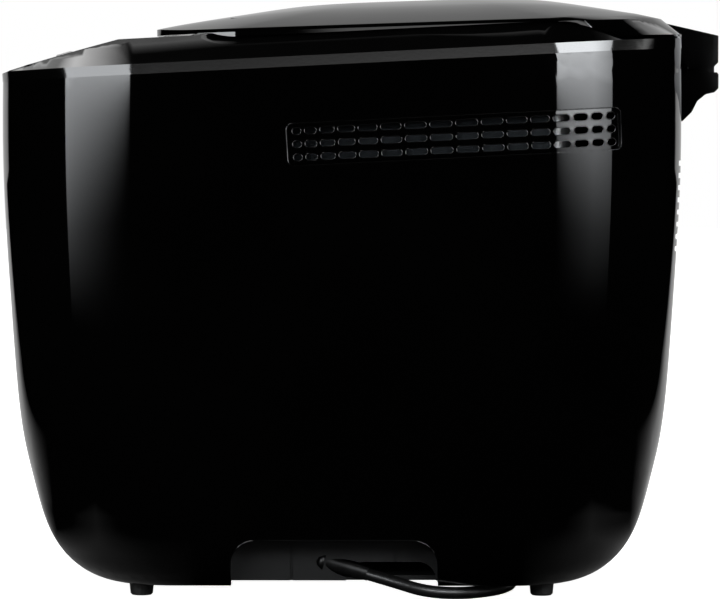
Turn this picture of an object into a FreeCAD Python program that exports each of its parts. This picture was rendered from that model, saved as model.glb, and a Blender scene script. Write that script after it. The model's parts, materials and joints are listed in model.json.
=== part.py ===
"""Bread machine: a tub-shaped housing with a domed lid, a heated chamber, a pan and a belt-driven paddle.

Millimetres. +Z is up, the origin is on the floor under the middle of the machine, and the panel faces -Y.
"""
import FreeCAD
import Part
import Sketcher
import math
import os
import re
from FreeCAD import Placement, Rotation, Vector

doc = FreeCAD.newDocument("BreadMachine")

# Driving dimensions
DIMENSIONS = {
    # Housing: outline at the top, wall, and how fast the corners tighten towards the floor
    "body_mid_y": -9.5,
    "body_width": 230,
    "body_depth": 340,
    "body_corner": 70,
    "body_wall": 2.2,
    "side_share": 0.6,
    "corner_share": 0.69,
    "body_top": 292,
    # Parting line between housing and deck, which climbs towards the back
    "part_z": 264.4,
    "part_tilt": 2.85,
    # Hand recess in both sides
    "recess_front": -64,
    "recess_back": 38.5,
    "recess_top": 31.5,
    "recess_corner": 13,
    "recess_wall_x": 76,
    "tray_sheet": 2.4,
    # Air grille
    "grille_mid_y": 46,
    "grille_mid_z": 229.3,
    "grille_length": 162.5,
    "grille_height": 20.5,
    "grille_depth": 1.2,
    "grille_corner": 3,
    "grille_sheet": 1.6,
    "grille_flange": 3,
    "grille_fit": 0.05,
    "slot_row_pitch": 6.4,
    "slot_height": 3.6,
    "slot_span": 157,
    "slot_short": 3.8,
    "slot_swell": 7.2,
    # Cooling slots in the rear wall
    "rear_slot_z": 171.5,
    "rear_slot_height": 2.8,
    "rear_slot_pitch": 6.1,
    "rear_slot_half": 17,
    "rear_column_pitch": 44,
    # Base
    "tray_z": 9.2,
    "tray_half_width": 79,
    "tray_half_depth": 112.4,
    "tray_corner": 30,
    "lip_half_width": 75,
    "lip_half_depth": 110,
    "lip_corner": 20,
    "board_x": -62,
    "board_base": 16,
    "arch_top": 18.5,
    "arch_front": -7,
    "arch_corner": 9,
    "foot_x": 60,
    "foot_front": -109.5,
    "foot_back": 90.5,
    "foot_top_radius": 6.5,
    "foot_base_radius": 5.6,
    # Deck: upright band, sloped shoulder, panel slope and lid seat
    "band_height": 5,
    "shoulder_rise": 24,
    "deck_sheet": 2.5,
    "panel_tilt": 15,
    "crest_y": -117.5,
    "seat_mid_y": -15,
    "seat_mid_z": 282,
    "seat_slope": 0.0527,
    "seat_bend": 0.000163,
    # Throat of the deck over the baking chamber
    "chamber_mid_y": 10.5,
    "throat_half_width": 80,
    "throat_half_depth": 100,
    "throat_corner": 18,
    "throat_foot_z": 255.4,
    # Control panel, in the plane of its slope
    "panel_mid_y": -146,
    "panel_half_width": 85,
    "panel_half_depth": 16,
    "panel_corner": 5,
    "panel_sheet": 2,
    "panel_backing": 4.5,
    "screen_half_width": 27,
    "screen_half_depth": 10,
    "button_width": 13,
    "button_depth": 8.5,
    "button_corner": 2.5,
    "button_gap": 0.35,
    "button_proud": 1.4,
    "button_length": 7.4,
    "board_drop": 9.6,
    "board_sheet": 1.6,
    # Lid dome, in a frame that leans with the lid seat
    "lid_tilt": 1.9,
    "lid_mid_y": 25,
    "lid_mid_z": 283,
    "lid_gap": 0.45,
    "lid_front": -101,
    "lid_half_width": 105,
    "lid_wall": 3,
    "lip_lift_y": -72,
    "window_front": -36,
    "window_back": 84,
    "window_half_width": 42,
    "window_corner": 16,
    "gasket_width": 1.6,
    "liner_z": 1.3,
    "liner_sheet": 1.2,
    "liner_front": -79,
    "liner_back": 115,
    "liner_half_width": 88,
    "lid_screw_x": 72,
    "lid_screw_front": -60,
    "lid_screw_back": 92,
    # Hinge
    "pivot_y": 172.5,
    "pivot_z": 271.5,
    "pin_radius": 2.5,
    "pin_clearance": 0.06,
    "pin_cover": 3,
    "swing_radius": 11.5,
    "arm_root_y": 150,
    "arm_root_z": 286.2,
    "arm_tip_z": 279.4,
    "arm_inner_x": 21,
    "arm_outer_x": 38,
    "knuckle_half": 20.4,
    "knuckle_radius": 6.2,
    "bracket_half": 40,
    "shelf_top": 261,
    "shelf_base": 251,
    "hinge_back": 179.4,
    # Baking chamber, heater and sensor
    "chamber_base": 58,
    "chamber_floor": 59.2,
    "chamber_sheet": 1.2,
    "chamber_half_width": 76,
    "chamber_half_depth": 96.5,
    "chamber_corner": 14,
    "heater_half_width": 68,
    "heater_half_depth": 89.5,
    "heater_radius": 3.3,
    "heater_bend": 12,
    "heater_end_bend": 5,
    "heater_end_x": 36,
    "heater_z": 74,
    "sensor_radius": 3,
    "sensor_x": -40,
    "sensor_z": 140,
    # Drive
    "frame_z": 48,
    "frame_sheet": 2,
    "frame_half_width": 52,
    "frame_front": -152,
    "frame_back": 88,
    "leg_x": 45,
    "leg_front": -75,
    "leg_back": 78,
    "post_front": -60,
    "post_back": 68,
    "bearing_radius": 11,
    "shaft_radius": 4,
    "shaft_clearance": 0.06,
    "motor_y": -119,
    "motor_radius": 28,
    "motor_height": 68,
    "motor_shaft_radius": 3,
    "pulley_z": 26,
    "small_pulley_radius": 8,
    "large_pulley_radius": 42,
    "coupling_z": 61,
    # Bread pan and its handle
    "pan_base": 76,
    "pan_top": 204,
    "pan_sheet": 1.6,
    "pan_half_width": 63,
    "pan_half_depth": 84,
    "pan_foot_half_width": 56,
    "pan_foot_half_depth": 77,
    "pan_ring_radius": 37,
    "pan_ring_z": 62.2,
    "pan_bush_radius": 10,
    "bail_z": 193.5,
    "bail_reach": 66,
    "bail_half_depth": 88.6,
    "bail_wire_radius": 1.8,
    "bail_stud_radius": 3,
    "bail_bend": 12,
    # Mains cord
    "cord_radius": 3.1,
    "gland_radius": 5,
    "gland_length": 26,
    "coil_x": -144,
    "coil_y": 40,
    "coil_z": 4,
    "coil_turns": 4.25,
    "coil_inner_radius": 27,
    "coil_pitch": 7,
    "coil_layer": 6.8,
    "coil_tail": 8,
    "tie_inner": 25.1,
    "tie_outer": 41.2,
    "tie_sheet": 0.8,
    "plug_boot": 26,
    "plug_half_width": 13,
    "plug_pin_radius": 2.4,
    "plug_pin_length": 19,
    "plug_pin_pitch": 19,
}

sheet = doc.addObject("Spreadsheet::Sheet", "Sizes")
for row, (alias, number) in enumerate(DIMENSIONS.items(), 1):
    sheet.set(f"A{row}", alias)
    sheet.set(f"B{row}", str(number))
    sheet.setAlias(f"B{row}", alias)
doc.recompute()


# Expressions on the sheet

def cells(text):
    """Point every word of an expression that is a sheet alias at the sheet."""
    def link(word):
        return f"Sizes.{word.group()}" if word.group() in DIMENSIONS else word.group()
    return re.sub(r"[a-z_]+", link, str(text))


def bind(item, prop, text):
    item.setExpression(prop, cells(text))


def value(text):
    return float(sheet.evalExpression(cells(text)))


# Sketches and solids

def new_body(label):
    body = doc.addObject("PartDesign::Body", label)
    body.Label = label
    return body


def new_sketch(body, role="XY_Plane", height="0"):
    """Start a sketch on one of the body's own origin planes, raised along the plane's normal."""
    plane = next(item for item in body.Origin.OriginFeatures if item.Role == role)
    sketch = body.newObject("Sketcher::SketchObject", body.Name + "Sketch")
    sketch.AttachmentSupport = [(plane, "")]
    sketch.MapMode = "FlatFace"
    bind(sketch, "AttachmentOffset.Base.z", height)
    return sketch


def constrain(sketch, plain, sized):
    """Add plain constraints, and sized ones whose last value is an expression bound to the sheet."""
    sketch.addConstraint([Sketcher.Constraint(*parts) for parts in plain])
    indices = sketch.addConstraint([Sketcher.Constraint(*parts, value(text)) for *parts, text in sized])
    for index, (*_, text) in zip(indices, sized):
        sketch.setExpression(f"Constraints[{index}]", cells(text))


def add_polygon(sketch, points):
    """Draw a closed outline through points given as pairs of expressions."""
    corners = [Vector(value(x), value(y), 0) for x, y in points]
    first = sketch.GeometryCount
    count = len(corners)
    sketch.addGeometry([Part.LineSegment(corners[i], corners[(i + 1) % count]) for i in range(count)], False)
    joins = [("Coincident", first + (i - 1) % count, 2, first + i, 1) for i in range(count)]
    across = [("DistanceX", -1, 1, first + i, 1, x) for i, (x, _) in enumerate(points)]
    along = [("DistanceY", -1, 1, first + i, 1, y) for i, (_, y) in enumerate(points)]
    constrain(sketch, joins, across + along)


def add_circle(sketch, x, y, radius):
    circle = Part.Circle(Vector(value(x), value(y), 0), Vector(0, 0, 1), value(radius))
    index = sketch.addGeometry(circle, False)
    places = [("DistanceX", -1, 1, index, 3, x), ("DistanceY", -1, 1, index, 3, y)]
    constrain(sketch, [], [("Radius", index, radius)] + places)


def add_rounded(sketch, left, right, low, high, radius):
    """Draw a rounded rectangle between four positions given as expressions."""
    x0, x1, y0, y1, r = (value(text) for text in (left, right, low, high, radius))
    first = sketch.GeometryCount
    ends = [
        (Vector(x0 + r, y0, 0), Vector(x1 - r, y0, 0)),
        (Vector(x1, y0 + r, 0), Vector(x1, y1 - r, 0)),
        (Vector(x1 - r, y1, 0), Vector(x0 + r, y1, 0)),
        (Vector(x0, y1 - r, 0), Vector(x0, y0 + r, 0)),
    ]
    centres = [(x1 - r, y0 + r), (x1 - r, y1 - r), (x0 + r, y1 - r), (x0 + r, y0 + r)]
    curves = []
    joins = []
    for side, (start, end) in enumerate(ends):
        circle = Part.Circle(Vector(*centres[side], 0), Vector(0, 0, 1), r)
        turn = math.pi / 2 * (side - 1)
        curves += [Part.LineSegment(start, end), Part.ArcOfCircle(circle, turn, turn + math.pi / 2)]
        line = first + 2 * side
        after = first + (2 * side + 2) % 8
        joins += [("Tangent", line, 2, line + 1, 1), ("Tangent", line + 1, 2, after, 1)]
        joins.append(("Vertical" if side % 2 else "Horizontal", line))
        if side:
            joins.append(("Equal", first + 1, line + 1))
    sketch.addGeometry(curves, False)
    constrain(sketch, joins, [
        ("Radius", first + 1, radius),
        ("DistanceY", -1, 1, first, 1, low),
        ("DistanceX", -1, 1, first + 2, 1, right),
        ("DistanceY", -1, 1, first + 4, 1, high),
        ("DistanceX", -1, 1, first + 6, 1, left),
    ])


def pad(body, sketch, length, midplane=False):
    feature = body.newObject("PartDesign::Pad", body.Name + "Pad")
    feature.Profile = sketch
    feature.SideType = "Symmetric" if midplane else "One side"
    bind(feature, "Length", length)
    return feature


def rounded_prism(label, left, right, low, high, radius, base, height):
    """An upright plate or block with rounded corners."""
    body = new_body(label)
    sketch = new_sketch(body, height=base)
    add_rounded(sketch, left, right, low, high, radius)
    pad(body, sketch, height)
    return body


def side_prism(label, points, half_width):
    """A profile drawn in side view, as (y, z) pairs, running across the machine about its middle."""
    body = new_body(label)
    sketch = new_sketch(body, "YZ_Plane")
    add_polygon(sketch, points)
    pad(body, sketch, f"2 * ({half_width})", midplane=True)
    return body


def turned(label, profile, x="0", y="0"):
    """A solid of revolution about an upright axis, from (radius, z) pairs."""
    body = new_body(label)
    sketch = new_sketch(body, "XZ_Plane")
    add_polygon(sketch, profile)
    feature = body.newObject("PartDesign::Revolution", body.Name + "Revolution")
    feature.Profile = sketch
    feature.ReferenceAxis = (sketch, ["V_Axis"])
    feature.Angle = 360
    bind(body, "Placement.Base.x", x)
    bind(body, "Placement.Base.y", y)
    return body


def box(label, x, y, z):
    """A block between pairs of positions along each axis."""
    item = doc.addObject("Part::Box", label)
    item.Label = label
    for prop, axis, (low, high) in (("Length", "x", x), ("Width", "y", y), ("Height", "z", z)):
        bind(item, prop, f"({high}) - ({low})")
        bind(item, f"Placement.Base.{axis}", low)
    return item


def rod(label, radius, length, x, y, z, axis=Vector(0, 0, 1)):
    """A round bar from a point along an axis."""
    item = doc.addObject("Part::Cylinder", label)
    item.Label = label
    item.Placement = Placement(Vector(0, 0, 0), Rotation(Vector(0, 0, 1), axis))
    bind(item, "Radius", radius)
    bind(item, "Height", length)
    for name, text in (("x", x), ("y", y), ("z", z)):
        bind(item, f"Placement.Base.{name}", text)
    return item


def fuse(label, *items):
    result = doc.addObject("Part::MultiFuse", label)
    result.Label = label
    result.Shapes = list(items)
    return result


def cut(label, base, *tools):
    result = doc.addObject("Part::Cut", label)
    result.Label = label
    result.Base = base
    result.Tool = tools[0] if len(tools) == 1 else fuse(label + "_tools", *tools)
    return result


def common(label, base, tool):
    result = doc.addObject("Part::Common", label)
    result.Label = label
    result.Base = base
    result.Tool = tool
    return result


def group(label, *items):
    """Separate identical solids kept together as one sub-part."""
    result = doc.addObject("Part::Compound", label)
    result.Label = label
    result.Links = list(items)
    return result


NODES = []


def node(item):
    """Mark a finished sub-part for writing."""
    NODES.append(item)
    return item


# Housing

# Section stations of the tub: height above the floor and how far the front and back walls stand in there
STATIONS = [(7, 55), (12.5, 40.2), (22.5, 29), (42.5, 19.2), (72.5, 11.5), (122.5, 5.6), (182.5, 1.7),
            (240, 0.2)]


def tub(label, margin, lift):
    """A lofted solid of the tub, with its skin moved in by a margin and up by a lift."""
    body = new_body(label)
    sections = []
    for height, inset in STATIONS + [(value("body_top"), 0)]:
        sketch = new_sketch(body, height=f"{height} + {lift}")
        half_x = f"(body_width / 2 - side_share * {inset} - {margin})"
        half_y = f"(body_depth / 2 - {inset} - {margin})"
        corner = f"body_corner - corner_share * {inset} - {margin}"
        add_rounded(sketch, f"0 - {half_x}", half_x, f"body_mid_y - {half_y}", f"body_mid_y + {half_y}",
                    corner)
        sections.append(sketch)
    loft = body.newObject("PartDesign::AdditiveLoft", label + "Loft")
    loft.Profile = sections[0]
    loft.Sections = sections[1:]
    return body


def above_parting(label, lift):
    """Everything above the sloping parting plane, raised by a lift."""
    reach = 220
    rise = f"{reach} * tan(part_tilt)"
    low = f"part_z + {lift} - {rise} - body_mid_y * tan(part_tilt)"
    high = f"part_z + {lift} + {rise} - body_mid_y * tan(part_tilt)"
    corners = [(-reach, low), (reach, high), (reach, "body_top + 20"), (-reach, "body_top + 20")]
    return side_prism(label, corners, "body_width")


def slot_columns():
    """Middle and length of each grille column along the row: short at the ends, long in the middle."""
    count = 16
    swells = [math.sin(math.pi * (i + 0.5) / count) for i in range(count)]
    lengths = [value("slot_short") + value("slot_swell") * swell for swell in swells]
    gap = (value("slot_span") - sum(lengths)) / (count - 1)
    start = -value("slot_span") / 2
    for length in lengths:
        yield start + length / 2, length
        start += length + gap


def slot_outline(middle, length, height):
    """A slot with round ends, in side view."""
    x, radius = 0, value("slot_height") / 2
    y0, y1 = middle - length / 2 + radius, middle + length / 2 - radius
    low, high = height - radius, height + radius
    edges = [Part.LineSegment(Vector(x, y0, low), Vector(x, y1, low)),
             Part.Arc(Vector(x, y1, low), Vector(x, y1 + radius, height), Vector(x, y1, high)),
             Part.LineSegment(Vector(x, y1, high), Vector(x, y0, high)),
             Part.Arc(Vector(x, y0, high), Vector(x, y0 - radius, height), Vector(x, y0, low))]
    return Part.Wire([edge.toShape() for edge in edges])


def grille_slots():
    """Three rows of graded slots through one side, lying along the sloping parting line."""
    across = Vector(value("body_width"), 0, 0)
    slots = []
    for row in (-1, 0, 1):
        for middle, length in slot_columns():
            wire = slot_outline(middle, length, row * value("slot_row_pitch"))
            slots.append(Part.Face(wire).extrude(across))
    tool = doc.addObject("Part::Feature", "grille_slots")
    tool.Shape = Part.makeCompound(slots)
    return lean_with_grille(tool)


def lean_with_grille(body):
    body.Placement = Placement(Vector(0, 0, 0), Rotation(Vector(1, 0, 0), value("part_tilt")))
    bind(body, "Placement.Base.y", "grille_mid_y")
    bind(body, "Placement.Base.z", "grille_mid_z")
    return body


def grille_prism(label, margin):
    """A long rounded block through the right wall at the grille, with its outline grown by a margin."""
    body = new_body(label)
    sketch = new_sketch(body, "YZ_Plane", "body_width / 4")
    half_length, half_height = f"(grille_length / 2 + {margin})", f"(grille_height / 2 + {margin})"
    add_rounded(sketch, f"0 - {half_length}", half_length, f"0 - {half_height}", half_height,
                f"grille_corner + {margin}")
    pad(body, sketch, "body_width / 2")
    return lean_with_grille(body)


def make_side_grille(wall_solid):
    """The slotted insert: a plate set back in its opening, with a flange behind the housing wall."""
    front = tub("grille_front", "grille_depth", "0")
    back = tub("grille_back", "(body_wall + grille_sheet)", "0")
    plate = common("grille_plate", grille_prism("grille_plate_prism", "(0 - grille_fit)"), front)
    flange = common("grille_flange", grille_prism("grille_flange_prism", "grille_flange"), wall_solid)
    node(cut("side_grille", fuse("grille_solid", plate, flange), back, grille_slots()))


def rear_slots():
    """Three columns of cooling slots in the rear wall, which run on round its corners."""
    tools = []
    for row in range(8):
        for column in (-1, 0, 1):
            x = f"{column} * rear_column_pitch"
            z = f"(rear_slot_z + rear_slot_pitch * {row})"
            tools.append(box(f"rear_slot_{row}_{column + 1}",
                             (f"{x} - rear_slot_half", f"{x} + rear_slot_half"), ("135", "175"),
                             (z, f"{z} + rear_slot_height")))
    return fuse("rear_slots", *tools)


def make_housing():
    outer = tub("housing_outer", "0", "0")
    inner = tub("housing_inner", "body_wall", "body_wall")
    mouth = rounded_prism("housing_mouth", "0 - lip_half_width", "lip_half_width",
                          "body_mid_y - lip_half_depth", "body_mid_y + lip_half_depth", "lip_corner",
                          "0", "20")
    recess = new_body("recess_cutter")
    sketch = new_sketch(recess, "YZ_Plane")
    add_rounded(sketch, "recess_front", "recess_back", "0 - recess_top", "recess_top", "recess_corner")
    pad(recess, sketch, "2 * body_width", midplane=True)
    shell = cut("housing_shell", outer, inner, mouth, recess, above_parting("housing_top_cutter", "0"))
    node(cut("housing", shell, grille_prism("grille_opening", "0"), rear_slots()))
    make_side_grille(inner)
    return outer


# Base tray and feet

def recess_box(label, side, wall, margin, low, high):
    """A block that fills the hand recess of one side from a set-back wall outwards."""
    reach = "body_width / 2 + 5"
    across = (wall, reach) if side > 0 else (f"0 - ({reach})", f"0 - ({wall})")
    return box(label, across, (f"recess_front - {margin}", f"recess_back + {margin}"), (low, high))


def make_recess_liners(gland, limit):
    """The pockets behind both hand recesses; the right one has an arch where the cord comes out."""
    blocks = [recess_box(f"recess_block_{side}", side, "recess_wall_x", "tray_sheet", "tray_z",
                         "recess_top + 2 * tray_sheet") for side in (1, -1)]
    hollows = [recess_box(f"recess_hollow_{side}", side, "recess_wall_x + tray_sheet", "0", "0 - 5",
                          "recess_top + tray_sheet") for side in (1, -1)]
    face = "recess_wall_x + tray_sheet"
    grooves = [box(f"recess_groove_{index}", (f"{face} - 1", f"{face} + 1"), (f"{y} - 0.8", f"{y} + 0.8"),
                   ("0", "recess_top")) for index, y in enumerate((-34, 17.5))]
    arch = new_body("cord_arch")
    sketch = new_sketch(arch, "YZ_Plane", "recess_wall_x - 6")
    add_rounded(sketch, "arch_front", "recess_back - 1", "0 - arch_top", "arch_top", "arch_corner")
    pad(arch, sketch, "12")
    pockets = cut("recess_pockets", group("recess_blocks", *blocks), *hollows, *grooves, arch, gland)
    node(common("recess_liners", pockets, limit))
    return blocks


def make_base_tray(gland):
    limit = tub("tray_limit", "(body_wall + 0.15)", "body_wall")
    blocks = make_recess_liners(gland, limit)
    floor = rounded_prism("tray_floor", "0 - tray_half_width", "tray_half_width",
                          "body_mid_y - tray_half_depth", "body_mid_y + tray_half_depth", "tray_corner",
                          "tray_z", "tray_sheet")
    rails = [box(f"board_rail_{index}", ("board_x - 3", "board_x + 3 + board_sheet"),
                 (f"{y} - 3", f"{y} + 3"), ("tray_z", "tray_z + 26")) for index, y in enumerate((-125, -95))]
    board_slot = box("board_slot", ("board_x - 0.1", "board_x + board_sheet + 0.1"), ("0 - 128", "0 - 91"),
                     ("board_base", "board_base + 60"))
    saddle = box("gland_saddle", ("60", "recess_wall_x - 1"), ("0 - 26", "0 - 12"), ("tray_z", "24"))
    raw = cut("tray_raw", fuse("tray_solid", floor, *rails, saddle), *blocks, board_slot, gland)
    return node(common("base_tray", raw, limit))


def corners(front, back, x):
    """The four places that mirror one another across the machine."""
    return [(f"{side} * {x}", y) for side in (1, -1) for y in (front, back)]


def make_feet():
    profile = [("0", "0"), ("foot_base_radius - 0.8", "0"), ("foot_base_radius", "0.8"),
               ("foot_top_radius", "tray_z"), ("0", "tray_z")]
    places = corners("foot_front", "foot_back", "foot_x")
    feet = [turned(f"foot_{i}", profile, x, y) for i, (x, y) in enumerate(places)]
    return node(group("feet", *feet))


# Deck

CREST_Z = "(seat_mid_z + (crest_y - seat_mid_y) * seat_slope)"


def seat_height(y):
    """Height of the lid seat: a straight slope up to its middle, easing off towards the back."""
    run = f"({y} - seat_mid_y)"
    return f"seat_mid_z + {run} * seat_slope - {run} * {run} * seat_bend"


def above_deck(label, lift):
    """Everything above the panel slope and the lid seat, raised by a lift."""
    reach = 220
    ceiling = 340
    bends = ["seat_mid_y + 33 * %d" % step for step in range(1, 7)]
    points = [(f"0 - {reach}", f"{CREST_Z} + {lift} - ({reach} + crest_y) * tan(panel_tilt)")]
    points.append(("crest_y", f"{CREST_Z} + {lift}"))
    points.append(("seat_mid_y", f"seat_mid_z + {lift}"))
    points += [(y, f"{seat_height(f'({y})')} + {lift}") for y in bends]
    points += [("seat_mid_y + 33 * 6", ceiling), (f"0 - {reach}", ceiling)]
    return side_prism(label, points, "body_width")


def lean_with_parting(body, lift):
    body.Placement = Placement(Vector(0, 0, 0), Rotation(Vector(1, 0, 0), value("part_tilt")))
    bind(body, "Placement.Base.y", "body_mid_y")
    bind(body, "Placement.Base.z", f"part_z + {lift}")
    return body


def deck_block(label, margin, lift):
    """Band and sloped shoulder as one solid, with its skin moved in by a margin and up by a lift."""
    body = new_body(label)
    sections = []
    steps = (("0", "0"), ("band_height", "0"), ("band_height + shoulder_rise", "shoulder_rise"))
    for height, inset in steps:
        sketch = new_sketch(body, height=height)
        half_x = f"(body_width / 2 - {margin} - {inset})"
        half_y = f"(body_depth / 2 - {margin} - {inset})"
        corner = f"body_corner - {margin} - {inset}"
        add_rounded(sketch, f"0 - {half_x}", half_x, f"0 - {half_y}", half_y, corner)
        sections.append(sketch)
    loft = body.newObject("PartDesign::AdditiveLoft", label + "Loft")
    loft.Profile = sections[0]
    loft.Sections = sections[1:]
    loft.Ruled = True
    return lean_with_parting(body, lift)


def on_panel(body):
    """Put a solid drawn about the panel's middle on the panel slope."""
    body.Placement = Placement(Vector(0, 0, 0), Rotation(Vector(1, 0, 0), value("panel_tilt")))
    bind(body, "Placement.Base.y", "panel_mid_y")
    bind(body, "Placement.Base.z", f"{CREST_Z} - (crest_y - panel_mid_y) * tan(panel_tilt)")
    return body


def panel_prism(label, x, half_width, half_depth, radius, base, height):
    """A rounded block on the panel slope, centred across the slope."""
    body = rounded_prism(label, f"{x} - ({half_width})", f"{x} + {half_width}",
                         f"0 - ({half_depth})", half_depth, radius, base, height)
    return on_panel(body)


BUTTONS = {"button_menu": -70, "button_crust": -53, "button_loaf": -36,
           "button_time_up": 36, "button_time_down": 53, "button_start": 70}


def button_holes(label):
    half_width = "button_width / 2 + button_gap"
    half_depth = "button_depth / 2 + button_gap"
    corner = "button_corner + button_gap"
    holes = [panel_prism(f"{label}_{name}", x, half_width, half_depth, corner, "0 - 15", "30")
             for name, x in BUTTONS.items()]
    return fuse(label, *holes)


def make_deck():
    hollow = cut("deck_hollow", deck_block("deck_hollow_block", "deck_sheet", "0"),
                 above_deck("deck_hollow_cutter", "(0 - deck_sheet)"))
    skin = cut("deck_skin", deck_block("deck_outer_block", "0", "0"), hollow)
    wall = "deck_sheet"
    collar = rounded_prism("deck_collar", f"0 - throat_half_width - {wall}", f"throat_half_width + {wall}",
                           f"chamber_mid_y - throat_half_depth - {wall}",
                           f"chamber_mid_y + throat_half_depth + {wall}", f"throat_corner + {wall}",
                           "throat_foot_z", "40")
    throat = rounded_prism("deck_throat", "0 - throat_half_width", "throat_half_width",
                           "chamber_mid_y - throat_half_depth", "chamber_mid_y + throat_half_depth",
                           "throat_corner", "throat_foot_z - 1", "50")
    backing = panel_prism("panel_backing_block", "0", "panel_half_width + 4", "panel_half_depth + 4", "6",
                          "0 - panel_backing", "panel_backing")
    posts = [panel_prism(f"board_post_{x}", x, "3", "3", "1", "0 - board_drop", "board_drop - panel_sheet")
             for x in (-79, 79)]
    recess = panel_prism("panel_recess", "0", "panel_half_width", "panel_half_depth", "panel_corner",
                         "0 - panel_sheet", "20")
    screen = panel_prism("screen_hole", "0", "screen_half_width - 2", "screen_half_depth - 2", "1", "0 - 15",
                         "30")
    full = fuse("deck_full", skin, collar, backing, *posts)
    return node(cut("deck", full, above_deck("deck_top_cutter", "0"), throat, recess, screen,
                    button_holes("deck_button_holes")))


def make_control_panel():
    half_width, half_depth = "(panel_half_width - 0.1)", "(panel_half_depth - 0.1)"
    plate = panel_prism("panel_plate", "0", half_width, half_depth, "panel_corner", "0 - panel_sheet",
                        "panel_sheet")
    opening = panel_prism("panel_screen_opening", "0", "screen_half_width", "screen_half_depth", "2",
                          "0 - 5", "10")
    node(cut("control_panel", plate, opening, button_holes("panel_button_holes")))
    node(panel_prism("display_window", "0", "screen_half_width", "screen_half_depth", "2", "0 - panel_sheet",
                     "panel_sheet"))
    node(panel_prism("display_module", "0", "screen_half_width", "screen_half_depth + 2", "1",
                     "0 - board_drop", "board_drop - panel_backing"))
    board = panel_prism("board_plate", "0", "panel_half_width", "panel_half_depth - 1", "2",
                        "0 - board_drop - board_sheet", "board_sheet")
    switches = [panel_prism(f"switch_{name}", x, "3", "3", "0.5", "0 - board_drop", "2")
                for name, x in BUTTONS.items()]
    node(fuse("control_board", board, *switches))


def make_button(label, x):
    """A cap with a softened top edge, standing proud of the panel and reaching down to its switch."""
    body = new_body(label)
    top = "button_proud"
    sections = []
    for height, draft in ((f"{top} - button_length", 0), (f"{top} - 0.6", 0), (top, 0.6)):
        sketch = new_sketch(body, height=height)
        add_rounded(sketch, f"{x} - button_width / 2 + {draft}", f"{x} + button_width / 2 - {draft}",
                    f"{draft} - button_depth / 2", f"button_depth / 2 - {draft}", f"button_corner - {draft}")
        sections.append(sketch)
    loft = body.newObject("PartDesign::AdditiveLoft", label + "Loft")
    loft.Profile = sections[0]
    loft.Sections = sections[1:]
    loft.Ruled = True
    node(on_panel(body))


# Lid

# Section stations of the lid in its leaning frame: height, front, back, half width and corner radius
LID_EDGE = [(-8, -101, 158.5, 105, 43), (0, -101, 149, 105, 43), (3, -101, 137, 104.5, 43)]
LID_DOME = [LID_EDGE[-1], (6.5, -80, 120, 92, 42), (9.3, -60, 107, 78, 40), (12.1, -40, 92, 58, 36),
            (13.8, -5, 60, 30, 24)]


def lean_with_lid(body):
    body.Placement = Placement(Vector(0, 0, 0), Rotation(Vector(1, 0, 0), value("lid_tilt")))
    bind(body, "Placement.Base.y", "lid_mid_y")
    bind(body, "Placement.Base.z", "lid_mid_z")
    return body


def lid_prism(label, front, back, half_width, radius, base, height):
    """A rounded block in the lid's leaning frame."""
    body = rounded_prism(label, f"0 - ({half_width})", half_width, f"{front} - lid_mid_y",
                         f"{back} - lid_mid_y", radius, base, height)
    return lean_with_lid(body)


def lid_dome(label, margin):
    """An upright edge under a smooth dome, with the skin moved in and down by a margin."""
    body = new_body(label)

    def section(height, front, back, half_width, corner):
        sketch = new_sketch(body, height=f"{height} - {margin}")
        half = f"({half_width} - {margin})"
        add_rounded(sketch, f"0 - {half}", half, f"{front} + {margin} - lid_mid_y",
                    f"{back} - {margin} - lid_mid_y", f"{corner} - {margin}")
        return sketch

    for ruled, stations in ((True, LID_EDGE), (False, LID_DOME)):
        sections = [section(*station) for station in stations]
        loft = body.newObject("PartDesign::AdditiveLoft", label + "Loft")
        loft.Profile = sections[0]
        loft.Sections = sections[1:]
        loft.Ruled = ruled
    return lean_with_lid(body)


def lid_seat(label):
    """The deck's outer form grown by the gap that the lid keeps from it."""
    grown = deck_block(label + "_block", "(0 - lid_gap)", "lid_gap")
    return cut(label, grown, above_deck(label + "_cutter", "lid_gap"))


LID_SCREWS = [(f"{side} * lid_screw_x", y)
              for side in (1, -1) for y in ("lid_screw_front", "lid_screw_back")]


def lid_round(label, x, y, radius, base, height):
    """A short round piece standing in the lid's leaning frame."""
    body = new_body(label)
    sketch = new_sketch(body, height=base)
    add_circle(sketch, x, f"{y} - lid_mid_y", radius)
    pad(body, sketch, height)
    return lean_with_lid(body)


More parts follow.
